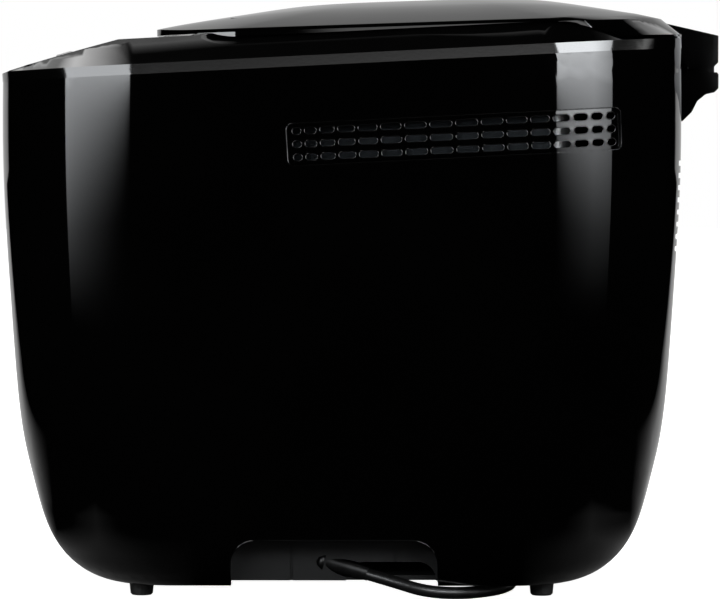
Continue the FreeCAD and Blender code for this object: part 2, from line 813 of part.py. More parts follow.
def make_lid():
    outer = lid_dome("lid_outer", "0")
    lip_lift = lid_prism("lip_lift", "lid_front - 20", "lip_lift_y", "lid_half_width + 10", "2", "0 - 30",
                         "29.8")
    shell = cut("lid_hollow_shell", outer, lid_dome("lid_inner", "lid_wall"), lid_seat("lid_seat"), lip_lift)
    grow = "gasket_width"
    opening = lid_prism("window_opening", f"window_front - {grow}", f"window_back + {grow}",
                        f"window_half_width + {grow}", f"window_corner + {grow}", "0", "30")
    pane = lid_prism("window_pane", "window_front", "window_back", "window_half_width", "window_corner",
                     "0 - 1", "32")
    bosses = [lid_round(f"lid_boss_{i}", x, y, "4", "liner_z + liner_sheet", "5")
              for i, (x, y) in enumerate(LID_SCREWS)]
    node(fuse("lid_shell", cut("lid_holed", shell, opening), *bosses))
    node(common("lid_window", shell, pane))
    node(common("window_gasket", shell, cut("gasket_ring", opening, pane)))
    liner = lid_prism("liner_plate", "liner_front", "liner_back", "liner_half_width", "30", "liner_z",
                      "liner_sheet")
    inner_front, inner_back = "window_front + 8", "window_back - 8"
    hole = lid_prism("liner_hole", inner_front, inner_back, "window_half_width - 8", "10", "0 - 5", "20")
    node(cut("lid_liner", liner, hole))
    node(lid_prism("inner_window", inner_front, inner_back, "window_half_width - 8", "10", "liner_z",
                   "liner_sheet"))
    heads = [lid_round(f"lid_screw_{i}", x, y, "3", "liner_z - 1.2", "1.2")
             for i, (x, y) in enumerate(LID_SCREWS)]
    node(group("lid_screws", *heads))
    return outer


# Hinge

ACROSS = Vector(1, 0, 0)


def pivot_rod(label, radius, half_length):
    """A bar across the machine on the hinge line."""
    return rod(label, radius, f"2 * ({half_length})", f"0 - ({half_length})", "pivot_y", "pivot_z", ACROSS)


def make_hinge(tub_solid, lid_solid):
    foot = "(shelf_top + 2)"
    front = "(pivot_y - swing_radius)"
    profile = [("arm_root_y", "arm_root_z"), ("hinge_back", "arm_tip_z"), ("hinge_back", f"{foot} + 3"),
               ("hinge_back - 3", foot), (front, foot), (front, "arm_root_z - 6"),
               ("arm_root_y", "arm_root_z - 6")]
    block = side_prism("arm_block", profile, "arm_outer_x")
    middle = box("arm_middle", ("0 - arm_inner_x", "arm_inner_x"), ("arm_root_y - 5", "hinge_back + 5"),
                 (f"{foot} - 5", "arm_root_z + 5"))
    bore = pivot_rod("arm_bore", "pin_radius + pin_clearance", "arm_outer_x - pin_cover")
    below = box("arm_front_corner", ("0 - bracket_half", "bracket_half"), (f"{front} - 1", "pivot_y"),
                (f"{foot} - 1", "pivot_z"))
    corner = cut("arm_swing_corner", below, pivot_rod("arm_swing", "swing_radius", "bracket_half + 1"))
    node(cut("lid_hinge_arms", block, lid_solid, lid_seat("arm_seat"), middle, bore, corner))
    shelf = [("155", "shelf_top"), ("hinge_back - 0.8", "shelf_top"), ("hinge_back", "shelf_top - 1"),
             ("hinge_back", "shelf_base + 2"), ("hinge_back - 2", "shelf_base"),
             ("hinge_back - 6.4", "shelf_base - 1"), ("hinge_back - 10.6", "shelf_base - 4.4"),
             ("hinge_back - 13.4", "shelf_base - 10"),
             ("hinge_back - 18", "shelf_base - 14.5"), ("155", "shelf_base - 14.5")]
    stem = box("knuckle_stem", ("0 - knuckle_half", "knuckle_half"),
               ("pivot_y - knuckle_radius", "pivot_y + knuckle_radius"), ("shelf_top - 1", "pivot_z"))
    bracket = fuse("bracket_solid", side_prism("bracket_block", shelf, "bracket_half"), stem,
                   pivot_rod("knuckle_round", "knuckle_radius", "knuckle_half"))
    node(cut("hinge_bracket", bracket, tub_solid, pivot_rod("knuckle_bore", "pin_radius", "60")))
    node(pivot_rod("hinge_pin", "pin_radius", "arm_outer_x - pin_cover - 0.2"))


# Baking chamber and heater

FORWARD = Vector(0, 1, 0)


def chamber_prism(label, half_width, half_depth, radius, base, height):
    """A rounded block about the chamber's upright axis."""
    return rounded_prism(label, f"0 - ({half_width})", half_width, f"chamber_mid_y - ({half_depth})",
                         f"chamber_mid_y + {half_depth}", radius, base, height)


def make_chamber():
    height = "throat_foot_z - chamber_base"
    outer = chamber_prism("chamber_outer", "chamber_half_width", "chamber_half_depth", "chamber_corner",
                          "chamber_base", height)
    flange = chamber_prism("chamber_flange", "chamber_half_width + 10", "chamber_half_depth + 10",
                           "chamber_corner + 10", "throat_foot_z - chamber_sheet", "chamber_sheet")
    inner = chamber_prism("chamber_inner", "chamber_half_width - chamber_sheet",
                          "chamber_half_depth - chamber_sheet", "chamber_corner - chamber_sheet",
                          "chamber_base + chamber_sheet", height)
    holes = [rod(f"heater_hole_{side}", "heater_radius + 0.2", "30", f"{side} * heater_end_x",
                 "chamber_mid_y - chamber_half_depth - 15", "heater_z", FORWARD) for side in (1, -1)]
    holes.append(rod("sensor_hole", "sensor_radius + 0.1", "30", "sensor_x",
                     "chamber_mid_y - chamber_half_depth - 15", "sensor_z", FORWARD))
    holes.append(rod("chamber_bearing_hole", "bearing_radius + 0.1", "20", "0", "chamber_mid_y",
                     "chamber_base - 10"))
    node(cut("baking_chamber", fuse("chamber_solid", outer, flange), inner, *holes))


def rounded_path(points, bends):
    """Straight runs through the points, joined by tangent arcs of the given radii."""
    edges = []
    start = points[0]
    for before, corner, after, radius in zip(points, points[1:], points[2:], bends):
        arrive = (corner - before).normalize()
        leave = (after - corner).normalize()
        turn = arrive.getAngle(leave)
        reach = radius * math.tan(turn / 2)
        first, last = corner - arrive * reach, corner + leave * reach
        inward = (leave - arrive).normalize()
        middle = corner + inward * (radius / math.cos(turn / 2) - radius)
        edges += [Part.LineSegment(start, first).toShape(), Part.Arc(first, middle, last).toShape()]
        start = last
    edges.append(Part.LineSegment(start, points[-1]).toShape())
    return Part.Wire(edges)


def tube(label, path, radius):
    """A round tube along a wire, as a sub-part of its own."""
    start = path.OrderedEdges[0]
    ring = Part.Circle(start.Vertexes[0].Point, start.tangentAt(start.FirstParameter), radius)
    section = Part.Wire(ring.toShape())
    item = doc.addObject("Part::Feature", label)
    item.Label = label
    item.Shape = path.makePipeShell([section], True)
    return item


def make_heater():
    x, end_x, z = value("heater_half_width"), value("heater_end_x"), value("heater_z")
    front = value("chamber_mid_y - heater_half_depth")
    back = value("chamber_mid_y + heater_half_depth")
    outside = value("chamber_mid_y - chamber_half_depth - 12")
    right = [(end_x, outside), (end_x, front), (x, front), (x, back)]
    left = [(-a, b) for a, b in reversed(right)]
    points = [Vector(a, b, z) for a, b in right + left]
    inner = [value("heater_bend")] * 4
    outer = [value("heater_end_bend")]
    node(tube("heating_element", rounded_path(points, outer + inner + outer), value("heater_radius")))
    clip_x = "heater_half_width + heater_radius"
    clips = []
    for side in (1, -1):
        for y in (-50, 50):
            wall = "chamber_half_width - chamber_sheet"
            across = (clip_x, wall) if side > 0 else (f"0 - ({wall})", f"0 - ({clip_x})")
            along = (f"chamber_mid_y + {y} - 5", f"chamber_mid_y + {y} + 5")
            clips.append(box(f"heater_clip_{side}_{y}", across, along, ("heater_z - 4", "heater_z + 4")))
    node(group("heater_clips", *clips))
    wall_y = "chamber_mid_y - chamber_half_depth"
    probe = rod("sensor_probe", "sensor_radius", "22", "sensor_x", f"{wall_y} - 10", "sensor_z", FORWARD)
    collar = rod("sensor_collar", "2 * sensor_radius", "2.4", "sensor_x", f"{wall_y} - 2.4", "sensor_z",
                 FORWARD)
    node(fuse("temperature_sensor", probe, collar))
    node(box("thermal_fuse", ("20", "44"), (f"{wall_y} - 5", wall_y), ("sensor_z + 20", "sensor_z + 28")))
    socket = [("pan_ring_radius - 3", "chamber_floor"), ("pan_ring_radius + 4", "chamber_floor"),
              ("pan_ring_radius + 4", "pan_ring_z + 8"), ("pan_ring_radius + 0.4", "pan_ring_z + 8"),
              ("pan_ring_radius + 0.4", "pan_ring_z - 0.4"), ("pan_ring_radius - 3", "pan_ring_z - 0.4")]
    node(turned("pan_socket", socket, "0", "chamber_mid_y"))
    edge = "(pan_ring_radius + 4)"
    clips = []
    for side in (1, -1):
        across = (edge, f"{edge} + 1.2") if side > 0 else (f"0 - {edge} - 1.2", f"0 - {edge}")
        along = ("chamber_mid_y - 7", "chamber_mid_y + 7")
        clips.append(box(f"pan_clip_{side}", across, along, ("chamber_floor", "pan_ring_z + 11")))
    node(group("pan_clips", *clips))


# Drive

def make_drive_frame():
    plate = rounded_prism("frame_plate", "0 - frame_half_width", "frame_half_width", "frame_front",
                          "frame_back", "12", "frame_z", "frame_sheet")
    posts = [rod(f"frame_post_{i}", "5", "chamber_base - frame_z - frame_sheet", x, y,
                 "frame_z + frame_sheet")
             for i, (x, y) in enumerate(corners("post_front", "post_back", "leg_x"))]
    legs = [rod(f"frame_leg_{i}", "5", "frame_z - tray_z - tray_sheet", x, y, "tray_z + tray_sheet")
            for i, (x, y) in enumerate(corners("leg_front", "leg_back", "leg_x"))]
    holes = [rod("frame_motor_hole", "10", "20", "0", "motor_y", "frame_z - 10"),
             rod("frame_bearing_hole", "bearing_radius + 0.1", "20", "0", "chamber_mid_y", "frame_z - 10")]
    node(cut("drive_frame", fuse("frame_solid", plate, *posts, *legs), *holes))
    top = "frame_z + frame_sheet"
    bush = [("shaft_radius + shaft_clearance", "frame_z - 6"), ("bearing_radius", "frame_z - 6"),
            ("bearing_radius", top), ("bearing_radius + 5", top), ("bearing_radius + 5", f"{top} + 2"),
            ("bearing_radius", f"{top} + 2"), ("bearing_radius", "chamber_floor + 0.4"),
            ("shaft_radius + shaft_clearance", "chamber_floor + 0.4")]
    node(turned("drive_bearing", bush, "0", "chamber_mid_y"))


def screw_heads(label, places, seat, radius):
    """Domed screw heads under a flat face."""
    profile = [("0", f"{seat} - 1.8"), (f"{radius} - 0.9", f"{seat} - 1.8"), (radius, f"{seat} - 1"),
               (radius, seat), ("0", seat)]
    node(group(label, *[turned(f"{label}_{i}", profile, x, y) for i, (x, y) in enumerate(places)]))


def make_motor():
    seat = "frame_z + frame_sheet"
    bore = "motor_shaft_radius + shaft_clearance"
    can = [(bore, f"{seat} + 2"), ("10", f"{seat} + 2"), ("10", f"{seat} + 6"),
           ("motor_radius", f"{seat} + 6"), ("motor_radius", f"{seat} + motor_height - 4"),
           ("motor_radius - 4", f"{seat} + motor_height"),
           (bore, f"{seat} + motor_height")]
    node(turned("motor", can, "0", "motor_y"))
    grommets = [rod(f"grommet_{i}", "5", "6", x, y, seat)
                for i, (x, y) in enumerate(corners("motor_y - 15", "motor_y + 15", "15"))]
    node(group("motor_grommets", *grommets))
    node(rod("motor_shaft", "motor_shaft_radius", "motor_height", "0", "motor_y", "pulley_z"))
    small = [("motor_shaft_radius", "pulley_z"), ("small_pulley_radius + 3", "pulley_z"),
             ("small_pulley_radius + 3", "pulley_z + 1.5"), ("small_pulley_radius", "pulley_z + 2"),
             ("small_pulley_radius", "pulley_z + 12"), ("small_pulley_radius + 3", "pulley_z + 12.5"),
             ("small_pulley_radius + 3", "pulley_z + 14"), ("motor_shaft_radius", "pulley_z + 14")]
    node(turned("motor_pulley", small, "0", "motor_y"))
    rim = "large_pulley_radius"
    large = [("shaft_radius", "pulley_z"), ("12", "pulley_z"), ("12", "pulley_z + 5"),
             (f"{rim} - 3", "pulley_z + 5"), (f"{rim} - 3", "pulley_z"), (f"{rim} + 3", "pulley_z"),
             (f"{rim} + 3", "pulley_z + 1.5"),
             (rim, "pulley_z + 2"), (rim, "pulley_z + 12"), (f"{rim} + 3", "pulley_z + 12.5"),
             (f"{rim} + 3", "pulley_z + 14"), (f"{rim} - 3", "pulley_z + 14"),
             (f"{rim} - 3", "pulley_z + 9"), ("12", "pulley_z + 9"), ("12", "pulley_z + 14"),
             ("shaft_radius", "pulley_z + 14")]
    node(turned("large_pulley", large, "0", "chamber_mid_y"))
    node(rod("drive_shaft", "shaft_radius", "coupling_z + 3 - pulley_z", "0", "chamber_mid_y", "pulley_z"))


def belt_face(offset):
    """The flat area inside a loop that runs round both pulleys at an offset from their rims."""
    near, far = Vector(0, value("chamber_mid_y"), 0), Vector(0, value("motor_y"), 0)
    large, small = value("large_pulley_radius") + offset, value("small_pulley_radius") + offset
    lean = math.asin((large - small) / near.distanceToPoint(far))
    side = Vector(math.cos(lean), -math.sin(lean), 0)
    mirrored = Vector(-side.x, side.y, 0)
    back, front = near + Vector(0, large, 0), far - Vector(0, small, 0)
    edges = [Part.Arc(near + side * large, back, near + mirrored * large).toShape(),
             Part.LineSegment(near + mirrored * large, far + mirrored * small).toShape(),
             Part.Arc(far + mirrored * small, front, far + side * small).toShape(),
             Part.LineSegment(far + side * small, near + side * large).toShape()]
    return Part.Face(Part.Wire(edges))


def make_belt():
    clearance, thickness, width = 0.35, 2.2, 8.6
    ring = belt_face(clearance + thickness).cut(belt_face(clearance))
    belt = doc.addObject("Part::Feature", "belt")
    belt.Label = "belt"
    belt.Shape = ring.extrude(Vector(0, 0, width))
    bind(belt, "Placement.Base.z", "pulley_z + 2.7")
    node(belt)


def make_couplings():
    disc = [("shaft_radius", "coupling_z"), ("17", "coupling_z"), ("17", "coupling_z + 3"),
            ("shaft_radius", "coupling_z + 3")]
    lugs = [box(f"drive_lug_{side}", ("8", "15") if side > 0 else ("0 - 15", "0 - 8"),
                ("chamber_mid_y - 3", "chamber_mid_y + 3"), ("coupling_z + 2", "coupling_z + 9"))
            for side in (1, -1)]
    node(fuse("drive_coupling", turned("coupling_disc", disc, "0", "chamber_mid_y"), *lugs))
    hub = [("shaft_radius", "coupling_z + 4"), ("7.5", "coupling_z + 4"), ("7.5", "coupling_z + 9"),
           ("shaft_radius", "coupling_z + 9")]
    wings = [box(f"pan_wing_{side}", ("5", "14.5") if side > 0 else ("0 - 14.5", "0 - 5"),
                 (f"chamber_mid_y + {low}", f"chamber_mid_y + {high}"),
                 ("coupling_z + 4.5", "coupling_z + 9"))
             for side, low, high in ((1, 3.4, 7), (-1, -7, -3.4))]
    core = rod("wing_core", "shaft_radius", "20", "0", "chamber_mid_y", "coupling_z")
    node(cut("pan_coupling", fuse("pan_wings", turned("wing_hub", hub, "0", "chamber_mid_y"), *wings), core))
    node(rod("paddle_shaft", "shaft_radius", "42", "0", "chamber_mid_y", "coupling_z + 3.6"))


def make_electrics():
    board = box("power_card", ("board_x", "board_x + board_sheet"), ("0 - 127", "0 - 92"),
                ("board_base", "board_base + 84"))
    transformer = box("transformer", ("board_x + board_sheet", "board_x + 20"), ("0 - 121", "0 - 99"),
                      ("board_base + 36", "board_base + 62"))
    relay = box("relay", ("board_x + board_sheet", "board_x + 16"), ("0 - 118", "0 - 102"),
                ("board_base + 64", "board_base + 80"))
    node(fuse("power_board", board, transformer, relay))
    seat = "tray_z + tray_sheet"
    can = [("0", seat), ("13", seat), ("13", f"{seat} + 32"), ("11", f"{seat} + 34"), ("0", f"{seat} + 34")]
    node(turned("motor_capacitor", can, "55", "0 - 106"))


# Bread pan

def pan_loft(label, margin, base, top):
    """The pan's tapered form between two heights, with its skin moved in by a margin."""
    body = new_body(label)
    sections = []
    for height, half_width, half_depth, corner in ((base, "pan_foot_half_width", "pan_foot_half_depth", "18"),
                                                   (top, "pan_half_width", "pan_half_depth", "24")):
        sketch = new_sketch(body, height=height)
        add_rounded(sketch, f"{margin} - {half_width}", f"{half_width} - {margin}",
                    f"chamber_mid_y - {half_depth} + {margin}", f"chamber_mid_y + {half_depth} - {margin}",
                    f"{corner} - {margin}")
        sections.append(sketch)
    loft = body.newObject("PartDesign::AdditiveLoft", label + "Loft")
    loft.Profile = sections[0]
    loft.Sections = sections[1:]
    return body


def make_pan():
    rim = chamber_prism("pan_rim", "pan_half_width + 2.5", "pan_half_depth + 2.5", "26.5", "pan_top - 3.5",
                        "3.5")
    studs = [rod(f"pan_stud_{side}", "bail_stud_radius", "9", "0",
                 "chamber_mid_y + pan_half_depth - 2" if side > 0 else "chamber_mid_y - pan_half_depth - 7",
                 "bail_z", FORWARD) for side in (1, -1)]
    outer = fuse("pan_solid", pan_loft("pan_outer", "0", "pan_base", "pan_top"), rim, *studs)
    inner = pan_loft("pan_inner", "pan_sheet", "pan_base + 2", "pan_top + 0.01")
    hole = rod("pan_bearing_hole", "pan_bush_radius + 0.1", "20", "0", "chamber_mid_y", "pan_base - 10")
    node(cut("bread_pan", outer, inner, hole))
    bore = "shaft_radius + shaft_clearance"
    bush = [(bore, "pan_base - 4"), ("pan_bush_radius + 4", "pan_base - 4"),
            ("pan_bush_radius + 4", "pan_base"), ("pan_bush_radius", "pan_base"),
            ("pan_bush_radius", "pan_base + 6"), (bore, "pan_base + 6")]
    node(turned("pan_bearing", bush, "0", "chamber_mid_y"))
    ring = [("pan_ring_radius - 4", "pan_ring_z"), ("pan_ring_radius", "pan_ring_z"),
            ("pan_ring_radius", "pan_base"), ("pan_ring_radius - 4", "pan_base")]
    node(turned("pan_base_ring", ring, "0", "chamber_mid_y"))


def make_bail():
    """The pan's wire handle, folded down to one side, with an eye round each stud."""
    x, z, middle, bend = value("bail_reach"), value("bail_z"), value("chamber_mid_y"), value("bail_bend")
    half, wire = value("bail_half_depth"), value("bail_wire_radius")
    start = value("bail_stud_radius")
    corners_of_loop = [(start, half), (x, half), (x, -half), (start, -half)]
    points = [Vector(across, middle + along, z) for across, along in corners_of_loop]
    loop = tube("bail_wire", rounded_path(points, [bend, bend]), wire)
    eyes = []
    for side in (1, -1):
        start = f"chamber_mid_y + {side} * bail_half_depth - 1.4"
        eyes.append(rod(f"bail_eye_{side}", "bail_stud_radius + 2.6", "2.8", "0", start, "bail_z", FORWARD))
    bore = rod("bail_bore", "bail_stud_radius + shaft_clearance", "4 * bail_half_depth", "0",
               "chamber_mid_y - 2 * bail_half_depth", "bail_z", FORWARD)
    node(cut("pan_handle", fuse("bail_solid", loop, *eyes), bore))


def make_paddle():
    """A hub with one fin that rises towards the shaft."""
    base = "pan_base + 8.5"
    hub = [("shaft_radius", base), ("10", base), ("8", f"{base} + 17"), ("shaft_radius", f"{base} + 19")]
    body = new_body("paddle_fin")
    sketch = new_sketch(body, "XZ_Plane", "0 - chamber_mid_y")
    add_polygon(sketch, [("5", base), ("44", base), ("46.5", f"{base} + 4"), ("34", f"{base} + 22"),
                         ("18", f"{base} + 28"), ("9", f"{base} + 16"), ("5", f"{base} + 16")])
    pad(body, sketch, "5", midplane=True)
    core = rod("paddle_core", "shaft_radius", "60", "0", "chamber_mid_y", base)
    solid = fuse("paddle_solid", turned("paddle_hub", hub, "0", "chamber_mid_y"), body)
    node(cut("kneading_paddle", solid, core))


# Mains cord

# Where the cord's middle runs: out of its gland, down to the floor, under the base and out on the far side
CORD_ROUTE = [
    (80.5, 4, 12.6), (85.2, 17.5, 9.2), (87, 32, 4.8), (82, 49, 3.2), (70, 64, 3.15), (52, 73.5, 3.15),
    (28, 77, 3.15), (0, 75.5, 3.15), (-33, 72.5, 3.15), (-66, 72, 3.15), (-97, 78, 3.5), (-122, 81, 4),
    (-137.8, 81, 4),
]


def point_along(item, start, direction):
    """Stand a solid that was made about the Z axis on a point, along a direction."""
    item.Placement = Placement(start, Rotation(Vector(0, 0, 1), direction))
    return item


def make_gland():
    """A tapered strain relief that leaves its saddle at a shallow angle to the recess wall."""
    tip = Vector(*CORD_ROUTE[0])
    direction = (Vector(*CORD_ROUTE[1]) - tip).normalize()
    profile = [("0", "0"), ("gland_radius + 1.5", "0"), ("gland_radius + 1.5", "4"), ("gland_radius", "4"),
               ("cord_radius + 1", "gland_length"), ("0", "gland_length")]
    body = new_body("cord_gland")
    sketch = new_sketch(body, "XZ_Plane")
    add_polygon(sketch, profile)
    feature = body.newObject("PartDesign::Revolution", "gland_revolution")
    feature.Profile = sketch
    feature.ReferenceAxis = (sketch, ["V_Axis"])
    feature.Angle = 360
    return node(point_along(body, tip - direction * value("gland_length"), direction))


def volume_ratio(item, path):
    """A tube's volume against its section times its length."""
    return round(item.Shape.Volume / (math.pi * value("cord_radius") ** 2 * path.Length), 4)


def make_lead():
    points = [Vector(*place) for place in CORD_ROUTE]
    bends = []
    for before, corner, after in zip(points, points[1:], points[2:]):
        turn = (corner - before).getAngle(after - corner)
        shorter = min(corner.distanceToPoint(before), corner.distanceToPoint(after))
        bends.append(0.45 * shorter / math.tan(turn / 2))
    path = rounded_path(points, bends)
    lead = node(tube("cord_lead", path, value("cord_radius")))
    print("cord lead bend radii", [round(radius) for radius in bends], "length", round(path.Length))
    print("cord lead volume ratio", volume_ratio(lead, path))


def coil_point(turns):
    """The coil's middle after some turns: it winds inwards, climbs a layer and winds out again on top."""
    total, reverse = value("coil_turns"), 0.25
    offset = turns - total / 2
    swing = offset * offset / (2 * reverse) if abs(offset) < reverse else abs(offset) - reverse / 2
    radius = value("coil_inner_radius") + value("coil_pitch") * swing
    climb = min(max((offset + reverse) / (2 * reverse), 0), 1)
    height = value("coil_z") + value("coil_layer") * climb * climb * (3 - 2 * climb)
    angle = math.pi / 2 + 2 * math.pi * turns
    across, along = radius * math.cos(angle), radius * math.sin(angle)
    return Vector(value("coil_x") + across, value("coil_y") + along, height)


def coil_heading(turns):
    step = 1e-4
    return (coil_point(turns + step) - coil_point(turns - step)).normalize()


def arc_from(start, heading, end):
    """An arc that leaves a point along a heading and ends at another point."""
    chord = end - start
    along = Vector(chord).normalize()
    aside = (heading - along * heading.dot(along)).normalize()
    middle = start + chord * 0.5 + aside * (chord.Length / 2 * math.tan(heading.getAngle(chord) / 2))
    return Part.Arc(start, middle, end).toShape()


def biarc(start, heading, end, last_heading):
    """Two tangent arcs between two points with given headings."""
    chord = end - start
    both = chord.dot(heading + last_heading)
    spread = 2 * (1 - heading.dot(last_heading))
    reach = (math.sqrt(both * both + spread * chord.dot(chord)) - both) / spread
    middle = (start + end + (heading - last_heading) * reach) * 0.5
    return [arc_from(start, heading, middle), arc_from(end, last_heading * -1, middle)]


def coil_self_gap():
    """Least clear distance between neighbouring turns, on points every few degrees."""
    steps_a_turn = 60
    count = int(value("coil_turns") * steps_a_turn)
    places = [coil_point(index / steps_a_turn) for index in range(count + 1)]
    apart = [a.distanceToPoint(b) for i, a in enumerate(places) for b in places[i + steps_a_turn // 2:]]
    return min(apart) - 2 * value("cord_radius")


def make_coil():
    quarters = round(value("coil_turns") * 4)
    stops = [index / 4 for index in range(quarters + 1)]
    start, end = coil_point(0), coil_point(stops[-1])
    ahead, last = Vector(-1, 0, 0), Vector(0, -1, 0)
    headings = [ahead] + [coil_heading(turns) for turns in stops[1:-1]] + [last]
    lead_in = Vector(*CORD_ROUTE[-1])
    tail = end + last * value("coil_tail")
    edges = [Part.LineSegment(lead_in, start).toShape()]
    for index in range(quarters):
        here, there = coil_point(stops[index]), coil_point(stops[index + 1])
        edges += biarc(here, headings[index], there, headings[index + 1])
    edges.append(Part.LineSegment(end, tail).toShape())
    path = Part.Wire(Part.__sortEdges__(edges))
    coil = node(tube("cord_coil", path, value("cord_radius")))
    print("cord coil length", round(path.Length), "least gap", round(coil_self_gap(), 2))
    print("cord coil volume ratio", volume_ratio(coil, path))
    return tail


def make_tie():
    """A flat strap round the bundle of turns, on the side next to the machine."""
    body = new_body("cord_tie")
    sketch = new_sketch(body, "XZ_Plane", "0 - coil_y - 4")
    near, far = "coil_x + tie_inner", "coil_x + tie_outer"
    low, high = "coil_z - cord_radius - 0.05", "coil_z + coil_layer + cord_radius + 0.3"
    add_rounded(sketch, near, far, low, high, "3")
    add_rounded(sketch, f"{near} - tie_sheet", f"{far} + tie_sheet", f"{low} - tie_sheet",
                f"{high} + tie_sheet", "3 + tie_sheet")
    pad(body, sketch, "8")
    node(body)


def make_plug(tail):
    """A moulded two-pin plug on the floor, with its cord entry at the height of the coil's top layer."""
    back = Vector(0, -1, 0)
    boot = doc.addObject("Part::Cone", "plug_boot")
    bind(boot, "Radius1", "cord_radius + 1")
    bind(boot, "Radius2", "plug_half_width / 2")
    bind(boot, "Height", "plug_boot")
    point_along(boot, tail, back)
    body = new_body("plug_body")
    sections = []
    half_height = f"{tail.z}"
    for distance, shrink in (("plug_boot - 6", 6), ("plug_boot + 3", 1), ("plug_boot + 26", 0),
                             ("plug_boot + 34", 1.5)):
        sketch = new_sketch(body, "XZ_Plane", f"{distance} - {tail.y}")
        wide, tall = f"(plug_half_width - {shrink})", f"({half_height} - {shrink})"
        add_rounded(sketch, f"{tail.x} - {wide}", f"{tail.x} + {wide}", f"{half_height} - {tall}",
                    f"{half_height} + {tall}", "4")
        sections.append(sketch)
    loft = body.newObject("PartDesign::AdditiveLoft", "plug_loft")
    loft.Profile = sections[0]
    loft.Sections = sections[1:]
    loft.Ruled = True
    node(fuse("cord_plug", boot, body))
    face = tail + back * (value("plug_boot") + 34)
    pins = []
    for side in (1, -1):
        pin = doc.addObject("Part::Cylinder", f"plug_pin_{side}")
        bind(pin, "Radius", "plug_pin_radius")
        bind(pin, "Height", "plug_pin_length")
        pins.append(point_along(pin, face + Vector(side * value("plug_pin_pitch") / 2, 0, 0), back))
    node(group("plug_pins", *pins))


# Assembly


tub_solid = make_housing()
make_base_tray(make_gland())
make_feet()
make_deck()
make_control_panel()
for button_name, button_x in BUTTONS.items():
    make_button(button_name, button_x)
lid_solid = make_lid()
make_hinge(tub_solid, lid_solid)
make_chamber()
make_heater()
make_drive_frame()
make_motor()
make_belt()
make_couplings()
make_electrics()
screw_heads("base_screws", corners("leg_front", "leg_back", "leg_x"), "tray_z", "3.6")
screw_heads("frame_screws", corners("post_front", "post_back", "leg_x"), "frame_z", "4")
make_pan()
make_bail()
make_paddle()
make_lead()
make_tie()
make_plug(make_coil())


# Check and write

def write_nodes():
    doc.recompute()
    for item in doc.Objects:
        if "Invalid" in item.State or "Error" in item.State:
            raise RuntimeError(f"{item.Label} failed: {item.State}")
    for item in NODES:
        if item.Shape.isNull() or not item.Shape.isValid():
            raise RuntimeError(f"{item.Label} has no valid shape")
    os.makedirs("parts", exist_ok=True)
    for item in NODES:
        item.Shape.exportStep(f"parts/{item.Label}.step")


write_nodes()
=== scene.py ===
"""Looks of the bread machine: finishes, the mains cord, smooth mouldings, camera and studio light. Metres."""
import bpy
import json
import math
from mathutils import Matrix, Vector


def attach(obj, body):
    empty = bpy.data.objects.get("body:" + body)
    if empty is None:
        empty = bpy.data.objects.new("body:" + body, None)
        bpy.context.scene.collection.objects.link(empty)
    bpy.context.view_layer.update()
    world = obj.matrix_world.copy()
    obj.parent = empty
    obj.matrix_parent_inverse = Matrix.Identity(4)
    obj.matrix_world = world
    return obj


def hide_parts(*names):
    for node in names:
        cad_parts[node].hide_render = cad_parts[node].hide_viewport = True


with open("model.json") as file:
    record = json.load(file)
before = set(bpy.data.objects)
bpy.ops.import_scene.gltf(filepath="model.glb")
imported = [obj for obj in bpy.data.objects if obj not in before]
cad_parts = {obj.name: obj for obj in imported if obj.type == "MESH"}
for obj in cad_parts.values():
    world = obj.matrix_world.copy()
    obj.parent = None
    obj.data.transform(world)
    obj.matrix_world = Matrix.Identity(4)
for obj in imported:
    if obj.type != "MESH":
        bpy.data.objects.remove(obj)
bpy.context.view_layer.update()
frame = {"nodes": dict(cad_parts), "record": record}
MM = 0.001
SCENE = bpy.context.scene


def add_object(name, data):
    thing = bpy.data.objects.new(name, data)
    SCENE.collection.objects.link(thing)
    return thing


# Camera

CAMERA_AZIMUTH = math.radians(90.6)
CAMERA_ELEVATION = math.radians(2.73)
CAMERA_DISTANCE = 2.08
CAMERA_TARGET = Vector((0, -0.0009, 0.1449))
SENSOR_WIDTH = 36
# How wide the picture is at the near side of the machine, 80 mm in front of the target
PICTURE_WIDTH = 0.3554
PICTURE_PLANE = 0.08


def make_camera():
    data = bpy.data.cameras.new("camera")
    data.sensor_width = SENSOR_WIDTH
    data.sensor_fit = "HORIZONTAL"
    data.lens = SENSOR_WIDTH * (CAMERA_DISTANCE - PICTURE_PLANE) / PICTURE_WIDTH
    camera = add_object("camera", data)
    level = math.cos(CAMERA_ELEVATION)
    towards = Vector((math.sin(CAMERA_AZIMUTH) * level, -math.cos(CAMERA_AZIMUTH) * level,
                      math.sin(CAMERA_ELEVATION)))
    camera.location = CAMERA_TARGET + towards * CAMERA_DISTANCE
    camera.rotation_euler = (-towards).to_track_quat("-Z", "Y").to_euler()
    SCENE.camera = camera


# Material building blocks

# The middle range of a noise, which is stretched over the whole range of a finish
NOISE_LOW = 0.3
NOISE_HIGH = 0.7
MOTTLE_DETAIL = 4
ROUGH_DETAIL = 3
GRAIN_DETAIL = 2
# How much finer the roughness wanders than the colour
ROUGH_FINENESS = 2.3


def shader_of(material):
    return material.node_tree.nodes["Principled BSDF"]


def new_material(name):
    material = bpy.data.materials.new(name)
    material.use_nodes = True
    return material, shader_of(material)


def add_node(material, kind, **settings):
    node = material.node_tree.nodes.new(kind)
    for name, setting in settings.items():
        setattr(node, name, setting)
    return node


def link(material, output, target):
    material.node_tree.links.new(output, target)


